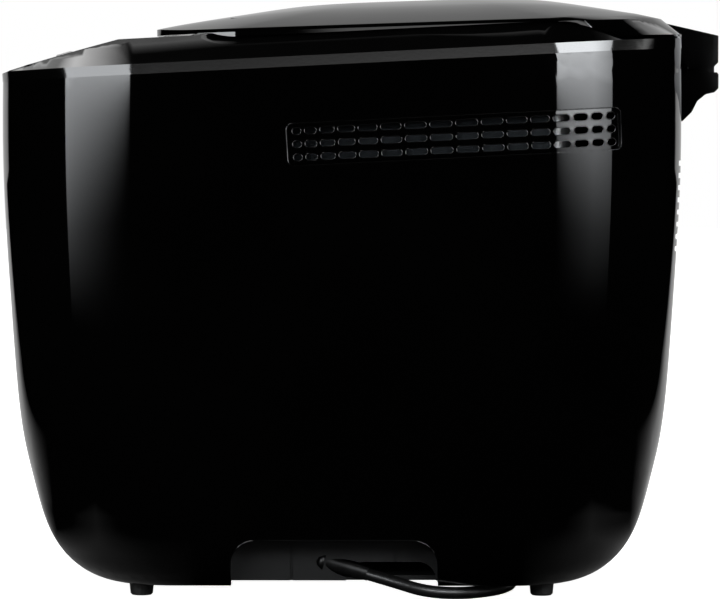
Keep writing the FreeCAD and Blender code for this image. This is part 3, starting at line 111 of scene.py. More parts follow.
def noise(material, scale, detail, stretch=(1, 1, 1)):
    """Noise in the object's own metres, stretched along an axis where the finish has a direction."""
    place = add_node(material, "ShaderNodeTexCoord")
    mapping = add_node(material, "ShaderNodeMapping")
    mapping.inputs["Scale"].default_value = stretch
    texture = add_node(material, "ShaderNodeTexNoise")
    texture.inputs["Scale"].default_value = scale
    texture.inputs["Detail"].default_value = detail
    link(material, place.outputs["Object"], mapping.inputs["Vector"])
    link(material, mapping.outputs["Vector"], texture.inputs["Vector"])
    return texture.outputs["Fac"]


def spread(material, factor, low, high):
    """Stretch a noise's middle range between two numbers."""
    node = add_node(material, "ShaderNodeMapRange")
    node.inputs["From Min"].default_value = NOISE_LOW
    node.inputs["From Max"].default_value = NOISE_HIGH
    node.inputs["To Min"].default_value = low
    node.inputs["To Max"].default_value = high
    link(material, factor, node.inputs["Value"])
    return node.outputs["Result"]


def tint(material, factor, first, second):
    """A colour that wanders between two colours."""
    node = add_node(material, "ShaderNodeMix", data_type="RGBA")
    node.inputs["A"].default_value = (*first, 1)
    node.inputs["B"].default_value = (*second, 1)
    link(material, factor, node.inputs["Factor"])
    return node.outputs["Result"]


def coordinate(material, kind, axis, mirror=False):
    """A coordinate of the shaded place, without its sign if both sides are to read alike."""
    place = add_node(material, "ShaderNodeTexCoord")
    split = add_node(material, "ShaderNodeSeparateXYZ")
    link(material, place.outputs[kind], split.inputs["Vector"])
    reading = split.outputs[axis]
    if mirror:
        size = add_node(material, "ShaderNodeMath", operation="ABSOLUTE")
        link(material, reading, size.inputs[0])
        reading = size.outputs["Value"]
    return reading


def between(material, reading, full, none):
    """One where a reading is at the full mark or past it, nothing at the other mark."""
    node = add_node(material, "ShaderNodeMapRange")
    node.inputs["From Min"].default_value = none
    node.inputs["From Max"].default_value = full
    link(material, reading, node.inputs["Value"])
    return node.outputs["Result"]


def fade(material, kind, axis, full, none, mirror=False):
    """One where a coordinate is at the full mark or past it, nothing at the other mark."""
    return between(material, coordinate(material, kind, axis, mirror), full, none)


def bump(material, shader, factor, depth):
    node = add_node(material, "ShaderNodeBump")
    node.inputs["Strength"].default_value = 1
    node.inputs["Distance"].default_value = depth
    link(material, factor, node.inputs["Height"])
    link(material, node.outputs["Normal"], shader.inputs["Normal"])


def finish(name, dark, light, rough, mottle_scale, grain_scale, grain_depth, metallic=0.0, stretch=(1, 1, 1)):
    """A surface with wandering colour and roughness over a fine grain."""
    material, shader = new_material(name)
    shader.inputs["Metallic"].default_value = metallic
    mottle = noise(material, mottle_scale, MOTTLE_DETAIL, stretch)
    wear = noise(material, mottle_scale * ROUGH_FINENESS, ROUGH_DETAIL, stretch)
    link(material, tint(material, spread(material, mottle, 0, 1), dark, light), shader.inputs["Base Color"])
    link(material, spread(material, wear, *rough), shader.inputs["Roughness"])
    bump(material, shader, noise(material, grain_scale, GRAIN_DETAIL, stretch), grain_depth)
    return material


def grey(level, warmth=0.0):
    """A grey that leans to red with warmth, and to blue where that is negative."""
    return (level * (1 + warmth), level, level * (1 - warmth))


# Finishes of the machine

MICRON = 1e-6
BRUSHED = (0.06, 1, 1)
# For each: dark and light colour, range of roughness, scales of mottle and grain, depth of the grain, and
# for some the share of metal and the stretch of the noise
FINISHES = {
    "gloss_black": (grey(0.0008), grey(0.0014), (0.025, 0.045), 14, 260, 2 * MICRON),
    "satin_black": (grey(0.0012), grey(0.002), (0.06, 0.1), 18, 900, 4 * MICRON),
    "matte_black": (grey(0.004), grey(0.007), (0.5, 0.62), 30, 2400, 30 * MICRON),
    "panel_grey": (grey(0.3), grey(0.34), (0.28, 0.36), 40, 1800, 10 * MICRON, 0.6),
    "button_grey": (grey(0.46), grey(0.52), (0.34, 0.42), 60, 2000, 10 * MICRON),
    "dark_screen": ((0.2, 0.24, 0.18), (0.24, 0.28, 0.21), (0.2, 0.26), 60, 1500, 4 * MICRON),
    "circuit_board": ((0.02, 0.14, 0.06), (0.03, 0.19, 0.08), (0.3, 0.5), 220, 900, 20 * MICRON),
    "bright_steel": (grey(0.55), grey(0.66), (0.22, 0.34), 60, 700, 8 * MICRON, 1, BRUSHED),
    "chamber_steel": (grey(0.4), grey(0.5), (0.3, 0.42), 45, 700, 10 * MICRON, 1),
    "zinc_steel": (grey(0.42, -0.02), grey(0.58, -0.02), (0.3, 0.46), 90, 600, 10 * MICRON, 1),
    "aluminium": (grey(0.62), grey(0.7), (0.32, 0.42), 70, 1200, 10 * MICRON, 1, BRUSHED),
    "nonstick": (grey(0.03), grey(0.055), (0.36, 0.48), 500, 2600, 20 * MICRON, 0.2),
    "heater_sheath": (grey(0.09, 0.08), grey(0.17, 0.1), (0.45, 0.6), 120, 900, 20 * MICRON, 0.8),
    "rubber_black": (grey(0.012), grey(0.02), (0.45, 0.6), 90, 1800, 20 * MICRON),
    "seal_grey": (grey(0.05), grey(0.07), (0.5, 0.62), 80, 1500, 20 * MICRON),
    "cord_black": (grey(0.011), grey(0.016), (0.3, 0.4), 70, 1500, 10 * MICRON),
    "bronze": ((0.42, 0.28, 0.13), (0.56, 0.4, 0.2), (0.3, 0.45), 200, 1200, 10 * MICRON, 1),
    "pulley_white": (grey(0.62, 0.03), grey(0.7, 0.03), (0.4, 0.5), 80, 1400, 10 * MICRON),
    "pin_metal": (grey(0.6, 0.02), grey(0.7, 0.02), (0.16, 0.26), 90, 900, 6 * MICRON, 1),
}
MATTE_SHINE = 0.25
WINDOW_TINT = (0.86, 0.89, 0.9, 1)
WINDOW_IOR = 1.49
WINDOW_MOTTLE = 30
WINDOW_ROUGH = (0.02, 0.06)
# Painted shade: the dark bluish grey of the chamber's outside, which shows through the grille's slots
CHAMBER_OUTSIDE_SHADE = (*grey(0.03, -0.1), 1)
# Where the chamber's right wall turns from its bright inside to its outside with painted shade
CHAMBER_INNER_X = 0.0751
CHAMBER_OUTER_X = 0.0757


def clear_window():
    material, shader = new_material("clear_window")
    shader.inputs["Base Color"].default_value = WINDOW_TINT
    shader.inputs["Transmission Weight"].default_value = 1
    shader.inputs["IOR"].default_value = WINDOW_IOR
    wear = noise(material, WINDOW_MOTTLE, ROUGH_DETAIL)
    link(material, spread(material, wear, *WINDOW_ROUGH), shader.inputs["Roughness"])
    return material


def paint_shade_outside(material):
    """Leave the chamber's steel bright inside, and paint shade, a dark bluish grey, on the outside that faces
    the grille.
    """
    shader = shader_of(material)
    bright = shader.inputs["Base Color"].links[0].from_socket
    inside = fade(material, "Object", "X", CHAMBER_INNER_X, CHAMBER_OUTER_X)
    # Painted shade on the outside, the steel's own colour on the inside
    mixed = add_node(material, "ShaderNodeMix", data_type="RGBA")
    mixed.inputs["A"].default_value = CHAMBER_OUTSIDE_SHADE
    link(material, bright, mixed.inputs["B"])
    link(material, inside, mixed.inputs["Factor"])
    link(material, mixed.outputs["Result"], shader.inputs["Base Color"])


def make_finishes():
    finishes = {name: finish(name, *look) for name, look in FINISHES.items()}
    matte = shader_of(finishes["matte_black"])
    matte.inputs["Specular IOR Level"].default_value = MATTE_SHINE
    # Painted shade on the chamber's outside, behind the grille
    paint_shade_outside(finishes["chamber_steel"])
    finishes["clear_window"] = clear_window()
    return finishes


def dress_nodes(finishes):
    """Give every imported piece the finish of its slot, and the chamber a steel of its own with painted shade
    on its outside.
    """
    for part in frame["record"]["subparts"]:
        mesh = frame["nodes"][part["node"]].data
        mesh.materials.clear()
        mesh.materials.append(finishes[part["material_slot"]])
    chamber = frame["nodes"]["baking_chamber"].data
    chamber.materials.clear()
    chamber.materials.append(finishes["chamber_steel"])


# Mains cord

CORD_RADIUS = 3.1 * MM
CORD_ROUNDNESS = 6
CORD_SMOOTHNESS = 8
# The route and the coil in millimetres
CORD_ROUTE = [
    (80.5, 4, 12.6), (85.2, 17.5, 9.2), (87, 32, 4.8), (82, 49, 3.2), (70, 64, 3.15), (52, 73.5, 3.15),
    (28, 77, 3.15), (0, 75.5, 3.15), (-33, 72.5, 3.15), (-66, 72, 3.15), (-97, 78, 3.5), (-122, 81, 4),
    (-137.8, 81, 4),
]
COIL_MIDDLE = (-144, 40)
COIL_FLOOR = 4
COIL_TURNS = 4.25
COIL_INNER_RADIUS = 27
COIL_PITCH = 7
COIL_LAYER = 6.8
COIL_TAIL = 8
# Turns before and after the coil's middle in which it goes over from winding in to winding out
COIL_REVERSE = 0.25
COIL_POINTS_A_TURN = 16


def ramp(level, low, high):
    """A smooth rise from 0 to 1."""
    t = min(max((level - low) / (high - low), 0), 1)
    return t * t * (3 - 2 * t)


def coil_point(turns):
    """The coil's middle after some turns: it winds inwards, climbs a layer and winds out again on top."""
    offset = turns - COIL_TURNS / 2
    swing = abs(offset) - COIL_REVERSE / 2
    if abs(offset) < COIL_REVERSE:
        swing = offset * offset / (2 * COIL_REVERSE)
    radius = COIL_INNER_RADIUS + COIL_PITCH * swing
    height = COIL_FLOOR + COIL_LAYER * ramp(offset, -COIL_REVERSE, COIL_REVERSE)
    angle = math.pi / 2 + 2 * math.pi * turns
    return (COIL_MIDDLE[0] + radius * math.cos(angle), COIL_MIDDLE[1] + radius * math.sin(angle), height)


def cord_points():
    """The route from the outlet to the coil, the coil, and a straight end to the plug."""
    steps = round(COIL_TURNS * COIL_POINTS_A_TURN)
    turns = [coil_point(step / COIL_POINTS_A_TURN) for step in range(steps + 1)]
    x, y, z = turns[-1]
    return CORD_ROUTE + turns + [(x, y - COIL_TAIL, z)]


def make_cord(finishes):
    curve = bpy.data.curves.new("mains_cord", "CURVE")
    curve.dimensions = "3D"
    curve.bevel_depth = CORD_RADIUS
    curve.bevel_resolution = CORD_ROUNDNESS
    curve.use_fill_caps = True
    points = cord_points()
    spline = curve.splines.new("NURBS")
    spline.points.add(len(points) - 1)
    for point, place in zip(spline.points, points):
        point.co = (*(Vector(place) * MM), 1)
    spline.order_u = 3
    spline.use_endpoint_u = True
    spline.resolution_u = CORD_SMOOTHNESS
    cord = add_object("mains_cord", curve)
    curve.materials.append(finishes["cord_black"])
    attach(cord, "machine")
    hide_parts("cord_lead", "cord_coil")


# Smooth mouldings

# The tub of the housing: its outline at the top, and height and inset of each section in millimetres
TUB_MIDDLE = Vector((0, -9.5, 0)) * MM
TUB_HALF_WIDTH = 115 * MM
TUB_HALF_DEPTH = 170 * MM
TUB_CORNER = 70 * MM
# Shares of a section's inset by which the side walls and the corner radius shrink
SIDE_SHARE = 0.6
CORNER_SHARE = 0.69
TUB_SECTIONS = [(7, 55), (12.5, 40.2), (22.5, 29), (42.5, 19.2), (72.5, 11.5), (122.5, 5.6), (182.5, 1.7),
                (240, 0.2), (292, 0)]
TINY = 0.02 * MM
# Faces whose normal rises less than this stand upright, and faces this much alike lie on one skin
UPRIGHT = 0.2
SAME_FACING = 0.95
# How near the skin a corner has to be to count as part of it
SKIN_REACH = 0.3 * MM
# Edges of a smaller angle are shaded as if they were rounded
DECK_SOFTNESS = math.radians(60)
LID_SOFTNESS = math.radians(40)


def section_slope(index):
    """How fast the inset changes with height at a section, from the parabola through its neighbours."""
    first = min(max(index - 1, 0), len(TUB_SECTIONS) - 3)
    (z0, i0), (z1, i1), (z2, i2) = TUB_SECTIONS[first:first + 3]
    rise = (i1 - i0) / (z1 - z0)
    fall = (i2 - i1) / (z2 - z1)
    curve = (fall - rise) / (z2 - z0)
    return rise + curve * (2 * TUB_SECTIONS[index][0] - z0 - z1)


def tub_inset(z):
    """Inset of the front and back walls at a height, in metres, on a smooth curve through the sections."""
    height = min(max(z / MM, TUB_SECTIONS[0][0]), TUB_SECTIONS[-1][0])
    index = 0
    while height > TUB_SECTIONS[index + 1][0]:
        index += 1
    (z0, i0), (z1, i1) = TUB_SECTIONS[index:index + 2]
    span = z1 - z0
    t = (height - z0) / span
    level = i0 * (2 * t ** 3 - 3 * t ** 2 + 1) + i1 * (3 * t ** 2 - 2 * t ** 3)
    bend = section_slope(index) * (t ** 3 - 2 * t ** 2 + t) + section_slope(index + 1) * (t ** 3 - t ** 2)
    return (level + span * bend) * MM


def outside_tub(point):
    """How far a point is outside the tub's skin, measured level."""
    inset = tub_inset(point.z)
    corner = TUB_CORNER - CORNER_SHARE * inset
    across = abs(point.x) - (TUB_HALF_WIDTH - SIDE_SHARE * inset) + corner
    along = abs(point.y - TUB_MIDDLE.y) - (TUB_HALF_DEPTH - inset) + corner
    return math.hypot(max(across, 0), max(along, 0)) + min(max(across, along), 0) - corner


def true_normal(distance, point):
    """The direction in which a distance grows fastest."""
    slopes = []
    for axis in range(3):
        step = Vector((0, 0, 0))
        step[axis] = TINY
        slopes.append(distance(point + step) - distance(point - step))
    return Vector(slopes).normalized()


def stand_in(name):
    """A copy of a piece that is shown in its place."""
    source = frame["nodes"][name]
    piece = add_object(name + "_smooth", source.data.copy())
    piece.matrix_world = source.matrix_world
    return piece


def hand_over(piece, name, body, normals):
    """Shade a copy along the given corner normals and let it stand for its piece."""
    piece.data.normals_split_custom_set(normals)
    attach(piece, body)
    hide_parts(name)


def polish(name, body, distance, reach):
    """Shade a piece along its exact outer skin instead of along its facets."""
    piece = stand_in(name)
    mesh = piece.data
    outer = {}
    for vertex in mesh.vertices:
        place = piece.matrix_world @ vertex.co
        if abs(distance(place)) < reach:
            outer[vertex.index] = true_normal(distance, place)
    normals = [corner.vector.copy() for corner in mesh.corner_normals]
    for face in mesh.polygons:
        for loop in face.loop_indices:
            wanted = outer.get(mesh.loops[loop].vertex_index)
            if wanted and wanted.dot(face.normal) > SAME_FACING:
                normals[loop] = wanted
    hand_over(piece, name, body, normals)


# The lid's own frame, and where and how far its flanks sink
LID_MIDDLE = Vector((0, 25, 283)) * MM
LID_TILT = math.radians(1.9)
SINK_FROM = 68 * MM
SINK_TO = 104.5 * MM
SINK_FOOT = 1.6 * MM
SINK_TOP = 3 * MM
SINK = 1.3 * MM


def sink_flanks(piece):
    """Let the lid's dome run on down to its long edges; the foot of the edges stays where it is."""
    for vertex in piece.data.vertices:
        place = piece.matrix_world @ vertex.co - LID_MIDDLE
        above = place.z * math.cos(LID_TILT) - place.y * math.sin(LID_TILT)
        rise = min(max((above - SINK_FOOT) / (SINK_TOP - SINK_FOOT), 0), 1)
        vertex.co.z -= SINK * rise * ramp(abs(place.x), SINK_FROM, SINK_TO)
    piece.data.update()


# The deck's upright band stands on the seam with the housing, which climbs towards the back
SEAM_HEIGHT = 264.9 * MM
SEAM_CLIMB = 0.0497
BAND_HEIGHT = 5 * MM
BAND_MARGIN = 0.5 * MM
BAND_LEAN = 0.35 * MM


def lean_band(piece):
    """Draw in the upper edge of the deck's band, so that it leans and shows as a lighter line."""
    for vertex in piece.data.vertices:
        place = piece.matrix_world @ vertex.co
        above = place.z - SEAM_HEIGHT - SEAM_CLIMB * place.y
        if abs(above - BAND_HEIGHT) < BAND_MARGIN and abs(outside_tub(place)) < BAND_LEAN:
            vertex.co -= true_normal(outside_tub, place) * BAND_LEAN
    piece.data.update()


def soften(name, body, limit, reshape):
    """Reshape a piece, and shade it as if its edges below an angle were rounded.

    Upright faces keep a crisp upper edge.
    """
    piece = stand_in(name)
    reshape(piece)
    mesh = piece.data
    meeting = {}
    places = [tuple(round(value / TINY) for value in vertex.co) for vertex in mesh.vertices]
    upright = [abs(face.normal.z) < UPRIGHT for face in mesh.polygons]
    for face in mesh.polygons:
        for index in face.vertices:
            meeting.setdefault((places[index], upright[face.index]), []).append(face.normal * face.area)
    least = math.cos(limit)
    normals = [None] * len(mesh.loops)
    for face in mesh.polygons:
        for loop in face.loop_indices:
            around = meeting[places[mesh.loops[loop].vertex_index], upright[face.index]]
            alike = [normal for normal in around if normal.dot(face.normal) >= least * normal.length]
            normals[loop] = sum(alike, face.normal * TINY * TINY).normalized()
    hand_over(piece, name, body, normals)


# Rims that catch the light: round the slots and the opening of the grille, and along the hand recesses

# Places in the side view, in millimetres
GRILLE_MIDDLE = (46, 229.3)
GRILLE_TILT = math.radians(2.85)
GRILLE_HALF_LENGTH = 81.25
GRILLE_HALF_HEIGHT = 10.25
GRILLE_CORNER = 3
SLOT_COLUMNS = 16
SLOT_SPAN = 157
SLOT_HEIGHT = 3.6
SLOT_ROW_PITCH = 6.4
SLOT_SHORT = 3.8
SLOT_SWELL = 7.2
RECESS_FRONT = -64
RECESS_BACK = 38.5
RECESS_TOP = 31.5
RECESS_CORNER = 13
RECESS_FOOT = 9.5
# Depths below the skin and radii of the beads
GRILLE_DEPTH = 1.2 * MM
RIM_DEPTH = 0.1 * MM
SLOT_RIM_RADIUS = 0.28 * MM
GRILLE_RIM_RADIUS = 0.3 * MM
RECESS_RIM_RADIUS = 0.35 * MM
# How finely the beads follow their lines
RIM_ROUNDNESS = 1
RIM_STEP = 6
OUTLINE_STEPS = 4
RECESS_SIDE_STEPS = 3
RECESS_TOP_STEPS = 10
RECESS_CORNER_STEPS = 8
HALVINGS = 24


def rounded_outline(half_length, half_height, corner, steps):
    """Points round a rectangle with round corners, about its middle."""
    points = []
    for turn, (along, up) in enumerate(((1, 1), (-1, 1), (-1, -1), (1, -1))):
        for step in range(steps + 1):
            angle = math.pi / 2 * (turn + step / steps)
            points.append((along * (half_length - corner) + corner * math.cos(angle),
                           up * (half_height - corner) + corner * math.sin(angle)))
    return points


def slot_columns():
    """Middle and half length of each grille column: short at the ends, long in the middle."""
    shares = [(column + 0.5) / SLOT_COLUMNS for column in range(SLOT_COLUMNS)]
    lengths = [SLOT_SHORT + SLOT_SWELL * math.sin(math.pi * share) for share in shares]
    gap = (SLOT_SPAN - sum(lengths)) / (SLOT_COLUMNS - 1)
    start = -SLOT_SPAN / 2
    for length in lengths:
        yield start + length / 2, length / 2
        start += length + gap


def on_skin(y, z, depth):
    """The point of the tub's right side at a place in side view, a depth below its skin."""
    low = 0.0
    high = TUB_HALF_WIDTH
    for _ in range(HALVINGS):
        middle = (low + high) / 2
        if outside_tub(Vector((middle, y, z))) < -depth:
            low = middle
        else:
            high = middle
    return Vector((low, y, z))


def in_grille(along, up, depth):
    """A point of the leaning grille, from its middle."""
    y = GRILLE_MIDDLE[0] + along * math.cos(GRILLE_TILT) - up * math.sin(GRILLE_TILT)
    z = GRILLE_MIDDLE[1] + along * math.sin(GRILLE_TILT) + up * math.cos(GRILLE_TILT)
    return on_skin(y * MM, z * MM, depth)


def make_rim(name, lines, radius, finishes, closed):
    """Thin round beads along lines of points, as one piece of the housing's own finish."""
    curve = bpy.data.curves.new(name, "CURVE")
    curve.dimensions = "3D"
    curve.bevel_depth = radius
    curve.bevel_resolution = RIM_ROUNDNESS
    for points in lines:
        spline = curve.splines.new("POLY")
        spline.points.add(len(points) - 1)
        spline.use_cyclic_u = closed
        for target, point in zip(spline.points, points):
            target.co = (*point, 1)
    rim = add_object(name, curve)
    curve.materials.append(finishes["gloss_black"])
    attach(rim, "machine")


def grille_lines():
    slots = []
    for row in (-1, 0, 1):
        for middle, half in slot_columns():
            outline = rounded_outline(half, SLOT_HEIGHT / 2, SLOT_HEIGHT / 2, OUTLINE_STEPS)
            level = row * SLOT_ROW_PITCH
            slots.append([in_grille(middle + a, level + b, GRILLE_DEPTH) for a, b in outline])
    return slots


def opening_line():
    outline = rounded_outline(GRILLE_HALF_LENGTH, GRILLE_HALF_HEIGHT, GRILLE_CORNER, OUTLINE_STEPS)
    points = []
    for (a0, b0), (a1, b1) in zip(outline, outline[1:] + outline[:1]):
        pieces = max(1, round(math.hypot(a1 - a0, b1 - b0) / RIM_STEP))
        for piece in range(pieces):
            share = piece / pieces
            points.append(in_grille(a0 + (a1 - a0) * share, b0 + (b1 - b0) * share, RIM_DEPTH))
    return points


def recess_line():
    """The edge of the right hand recess: up its front side, along its top and down its back side."""
    front = RECESS_FRONT + RECESS_CORNER
    back = RECESS_BACK - RECESS_CORNER
    top = RECESS_TOP - RECESS_CORNER
    rise = (top - RECESS_FOOT) / RECESS_SIDE_STEPS
    stride = (back - front) / RECESS_TOP_STEPS
    quarter = [math.pi / 2 * step / RECESS_CORNER_STEPS for step in range(RECESS_CORNER_STEPS + 1)]
    path = [(RECESS_FRONT, RECESS_FOOT + rise * step) for step in range(RECESS_SIDE_STEPS)]
    path += [(front - RECESS_CORNER * math.cos(a), top + RECESS_CORNER * math.sin(a)) for a in quarter]
    path += [(front + stride * step, RECESS_TOP) for step in range(1, RECESS_TOP_STEPS)]
    path += [(back + RECESS_CORNER * math.sin(a), top + RECESS_CORNER * math.cos(a)) for a in quarter]
    path += [(RECESS_BACK, top - rise * step) for step in range(1, RECESS_SIDE_STEPS + 1)]
    return [on_skin(y * MM, z * MM, RIM_DEPTH) for y, z in path]


def make_rims(finishes):
    make_rim("slot_rims", grille_lines(), SLOT_RIM_RADIUS, finishes, True)
    make_rim("grille_rim", [opening_line()], GRILLE_RIM_RADIUS, finishes, True)
    right = recess_line()
    left = [Vector((-point.x, point.y, point.z)) for point in right]
    make_rim("recess_rims", [right, left], RECESS_RIM_RADIUS, finishes, False)


# Cord sleeve and hinge knuckle, in millimetres

SLEEVE_LENGTH = 26
SLEEVE_RADII = [(0, 4.8), (4, 4.8), (4, 3.6), (SLEEVE_LENGTH, 3.3)]
SLEEVE_SIDES = 32
WEB_WIDTH = (-20.2, 20.2)
WEB_DEPTH = (160.4, 168)
WEB_HEIGHT = (260.5, 268)
BOX_FACES = [(0, 1, 3, 2), (4, 6, 7, 5), (0, 4, 5, 1), (2, 3, 7, 6), (0, 2, 6, 4), (1, 5, 7, 3)]


def make_sleeve(finishes):
    """The strain relief that holds the cord behind the recess wall, slim where it comes out."""
    tip = Vector(CORD_ROUTE[0])
    heading = (Vector(CORD_ROUTE[1]) - tip).normalized()
    turn = Vector((0, 0, 1)).rotation_difference(heading)
    points = []
    for along, radius in SLEEVE_RADII:
        for side in range(SLEEVE_SIDES):
            angle = 2 * math.pi * side / SLEEVE_SIDES
            local = Vector((radius * math.cos(angle), radius * math.sin(angle), along - SLEEVE_LENGTH))
            points.append((tip + turn @ local) * MM)
    faces = []
    for ring in range(len(SLEEVE_RADII) - 1):
        for side in range(SLEEVE_SIDES):
            a = ring * SLEEVE_SIDES + side
            b = ring * SLEEVE_SIDES + (side + 1) % SLEEVE_SIDES
            faces.append((a, b, b + SLEEVE_SIDES, a + SLEEVE_SIDES))
    faces.append(tuple(reversed(range(SLEEVE_SIDES))))
    faces.append(tuple(range(len(points) - SLEEVE_SIDES, len(points))))
    mesh = bpy.data.meshes.new("cord_sleeve")
    mesh.from_pydata(points, [], faces)
    for face in mesh.polygons:
        face.use_smooth = len(face.vertices) == 4
    sleeve = add_object("cord_sleeve", mesh)
    mesh.materials.append(finishes["cord_black"])
    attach(sleeve, "machine")
    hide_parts("cord_gland")


def make_knuckle_web(finishes):
    """The rib that carries the hinge knuckle from the rear wall."""
    mesh = bpy.data.meshes.new("knuckle_web")
    corners = [Vector((x, y, z)) * MM for x in WEB_WIDTH for y in WEB_DEPTH for z in WEB_HEIGHT]
    mesh.from_pydata(corners, [], BOX_FACES)
    web = add_object("knuckle_web", mesh)
    mesh.materials.append(finishes["gloss_black"])
    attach(web, "machine")


# Studio

def combine(material, operation, first, second):
    node = add_node(material, "ShaderNodeMath", operation=operation)
    for socket, source in zip(node.inputs, (first, second)):
        if isinstance(source, (int, float)):
            socket.default_value = source
        else:
            link(material, source, socket)
    return node.outputs["Value"]


def product(material, first, *others):
    result = first
    for other in others:
        result = combine(material, "MULTIPLY", result, other)
    return result


def strongest(material, first, *others):
    result = first
    for other in others:
        result = combine(material, "MAXIMUM", result, other)
    return result


# Brightness of what the machine mirrors
BACKDROP_LEVEL = 0.65
UPPER_BACKDROP_LEVEL = 0.55
WING_LEVEL = 2
RAIL_LEVEL = 2.5
CROWN_LEVEL = 8
UNDER_LEVEL = 0.2
DIFFUSE_LEVEL = 0.35

FLOOR_HALF = 6
FLOOR_WHITE = 0.8
FLOOR_ROUGHNESS = 0.7
# How fast the lit fan on the floor widens
FAN_SHARE = 0.5
# Marks on the floor in metres, each with the place of full light and then the place of none
UNDER_WIDTH = (0.1, 0.15)
UNDER_DEPTH = (0.16, 0.22)
UNDER_ENDS = (0.17, 0.08)
LEFT_SIDE = (-0.25, 0)
FAN = (0.3, 0.5)

# Marks on the sky as parts of a direction, again full light first; behind is the side that the camera faces
BEHIND = (-0.25, 0.05)
BOARD_SIDES = (0.57, 0.62)
BOARD_FOOT = (0, 0.1)
BOARD_TOP = (0.74, 0.94)
WING_SIDES = (0.42, 0.3)
WING_FOOT = (0.42, 0.3)
WING_TOP = (0.78, 0.9)
RAIL_END = (0.04, -0.12)
RAIL_FOOT = (0.07, 0.05)
RAIL_TOP = (0.13, 0.17)
CROWN_FRONT = (-0.5, -0.13)
CROWN_FOOT = (0.84, 0.74)


def make_floor():
    """A white floor, mirrored only under the machine's two ends and in a fan on its left side."""
    mesh = bpy.data.meshes.new("floor")
    corners = [(x * FLOOR_HALF, y * FLOOR_HALF, 0) for x, y in ((-1, -1), (1, -1), (1, 1), (-1, 1))]
    mesh.from_pydata(corners, [], [(0, 1, 2, 3)])
    floor = add_object("floor", mesh)
    material, shader = new_material("floor_white")
    shader.inputs["Roughness"].default_value = FLOOR_ROUGHNESS
    shader.inputs["Specular IOR Level"].default_value = 0
    shader.inputs["Emission Color"].default_value = (1, 1, 1, 1)
    rays = add_node(material, "ShaderNodeLightPath")
    under = combine(material, "MINIMUM", fade(material, "Object", "X", *UNDER_WIDTH, True),
                    fade(material, "Object", "Y", *UNDER_DEPTH, True))
    ends = product(material, under, fade(material, "Object", "Y", *UNDER_ENDS, True), UNDER_LEVEL)
    lean = product(material, coordinate(material, "Object", "X"), FAN_SHARE)
    aside = combine(material, "ADD", coordinate(material, "Object", "Y", True), lean)
    fan = product(material, fade(material, "Object", "X", *LEFT_SIDE), between(material, aside, *FAN),
                  BACKDROP_LEVEL)
    mirrored = product(material, strongest(material, ends, fan), rays.outputs["Is Glossy Ray"])
    unmirrored = combine(material, "SUBTRACT", 1, rays.outputs["Is Glossy Ray"])
    link(material, product(material, unmirrored, FLOOR_WHITE), shader.inputs["Base Color"])
    link(material, strongest(material, rays.outputs["Is Camera Ray"], mirrored),
         shader.inputs["Emission Strength"])
    mesh.materials.append(material)


def make_world():
    """White to the eye; mirrored as lit shapes on dark.

    They are a board with raised wings behind the machine, a rail on the camera's side of it, and a crown over
    its front.
    """
    world = bpy.data.worlds.new("studio")
    SCENE.world = world
    world.use_nodes = True
    background = world.node_tree.nodes["Background"]
    rays = add_node(world, "ShaderNodeLightPath")

    def mark(axis, marks, mirror=False):
        return fade(world, "Generated", axis, *marks, mirror)

    def height(foot, top):
        return combine(world, "MINIMUM", mark("Z", foot), mark("Z", top))

    behind = mark("X", BEHIND)
    ahead = combine(world, "SUBTRACT", 1, behind)
    low = product(world, mark("Z", BOARD_FOOT), BACKDROP_LEVEL)
    high = product(world, mark("Z", BOARD_TOP), UPPER_BACKDROP_LEVEL)
    board = product(world, strongest(world, low, high), mark("Y", BOARD_SIDES, True))
    wings = product(world, height(WING_FOOT, WING_TOP), mark("Y", WING_SIDES, True), WING_LEVEL)
    backdrop = product(world, strongest(world, board, wings), behind)
    rail = product(world, height(RAIL_FOOT, RAIL_TOP), mark("Y", RAIL_END), ahead, RAIL_LEVEL)
    crown = product(world, mark("Y", CROWN_FRONT), mark("Z", CROWN_FOOT), CROWN_LEVEL)
    mirrored = product(world, strongest(world, backdrop, rail, crown), rays.outputs["Is Glossy Ray"])
    diffuse = product(world, rays.outputs["Is Diffuse Ray"], DIFFUSE_LEVEL)
    level = strongest(world, rays.outputs["Is Camera Ray"], rays.outputs["Is Transmission Ray"],
                      mirrored, diffuse)
    link(world, level, background.inputs["Strength"])
    background.inputs["Color"].default_value = (1, 1, 1, 1)


SOFTBOX_DISTANCE = 0.95
SOFTBOX_HEIGHT = 0.45
SOFTBOX_COLOUR = (0.94, 0.97, 1, 1)
# Heights between which the slant grows downwards, and the part of the width in which the far edge dims
SLANT_HEIGHTS = (0.12, 0.26)
FAR_EDGE = (0.35, 0)
LAMP_SIZE = (2.0, 1.4)
LAMP_ENERGY = 48
LAMP_PLACE = (-0.6, 0, 2.3)
LAMP_TILT = math.radians(-15)


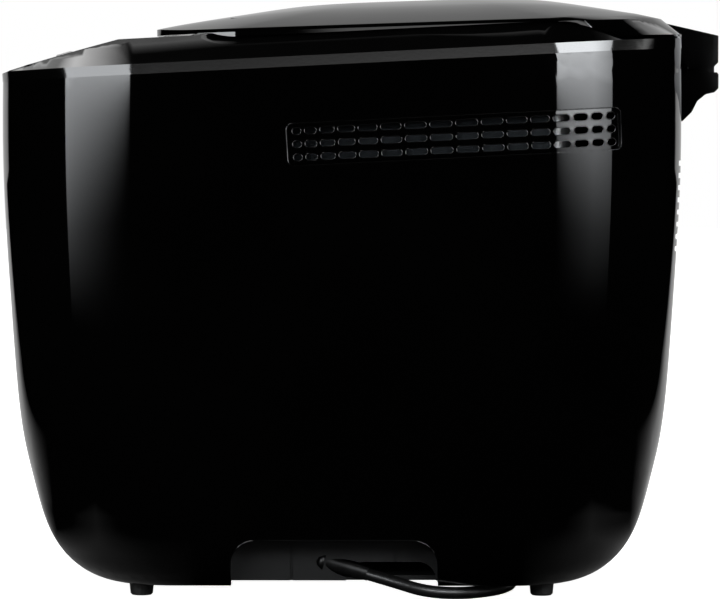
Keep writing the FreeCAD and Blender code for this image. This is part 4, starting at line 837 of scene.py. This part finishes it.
def softbox(name, near, far, head, level, drop, slant, tail):
    """An upright light wall between two angles beside the camera's axis.

    It's brightest at its head, and dimmer at its foot, low down towards its near edge, and at its far edge.
    """
    corners = []
    for angle in (near, far):
        turn = CAMERA_AZIMUTH + angle
        distance = SOFTBOX_DISTANCE / math.cos((far - near) / 2)
        side = Vector((math.sin(turn), -math.cos(turn), 0)) * distance
        corners += [side, side + Vector((0, 0, SOFTBOX_HEIGHT))]
    mesh = bpy.data.meshes.new(name)
    mesh.from_pydata(corners, [], [(0, 1, 3, 2)])
    box = add_object(name, mesh)
    material, shader = new_material(name)
    shader.inputs["Base Color"].default_value = (0, 0, 0, 1)
    shader.inputs["Specular IOR Level"].default_value = 0
    shader.inputs["Emission Color"].default_value = SOFTBOX_COLOUR
    upward = combine(material, "POWER", fade(material, "Object", "Z", head, 0), drop)
    lean = product(material, fade(material, "Object", "Z", *SLANT_HEIGHTS), slant)
    outward = combine(material, "POWER", fade(material, "Generated", "X", 0, 1), lean)
    ending = product(material, fade(material, "Generated", "X", *FAR_EDGE), 1 - tail)
    edge = combine(material, "ADD", ending, tail)
    link(material, product(material, upward, outward, edge, level), shader.inputs["Emission Strength"])
    mesh.materials.append(material)
    box.visible_camera = False
    box.visible_diffuse = False
    box.visible_shadow = False


def top_lamp():
    """A wide lamp overhead that lights the matte pieces and isn't mirrored."""
    data = bpy.data.lights.new("lamp_top", "AREA")
    data.shape = "RECTANGLE"
    data.size, data.size_y = LAMP_SIZE
    data.energy = LAMP_ENERGY
    lamp = add_object("lamp_top", data)
    lamp.location = LAMP_PLACE
    lamp.rotation_euler = (0, LAMP_TILT, 0)
    lamp.visible_camera = False
    lamp.visible_glossy = False


def make_lamps():
    softbox("softbox_front", near=math.radians(-12.5), far=math.radians(-61.5),
            head=0.3, level=10.5, drop=2.3, slant=2.4, tail=1)
    softbox("softbox_back", near=math.radians(14), far=math.radians(56),
            head=0.36, level=21, drop=2.9, slant=1.3, tail=0.5)
    top_lamp()


finishes = make_finishes()
dress_nodes(finishes)
make_camera()
make_cord(finishes)
polish("housing", "machine", outside_tub, SKIN_REACH)
soften("deck", "machine", DECK_SOFTNESS, lean_band)
soften("lid_shell", "lid", LID_SOFTNESS, sink_flanks)
make_rims(finishes)
make_sleeve(finishes)
make_knuckle_web(finishes)
make_floor()
make_world()
make_lamps()
SCENE.view_settings.view_transform = "Standard"
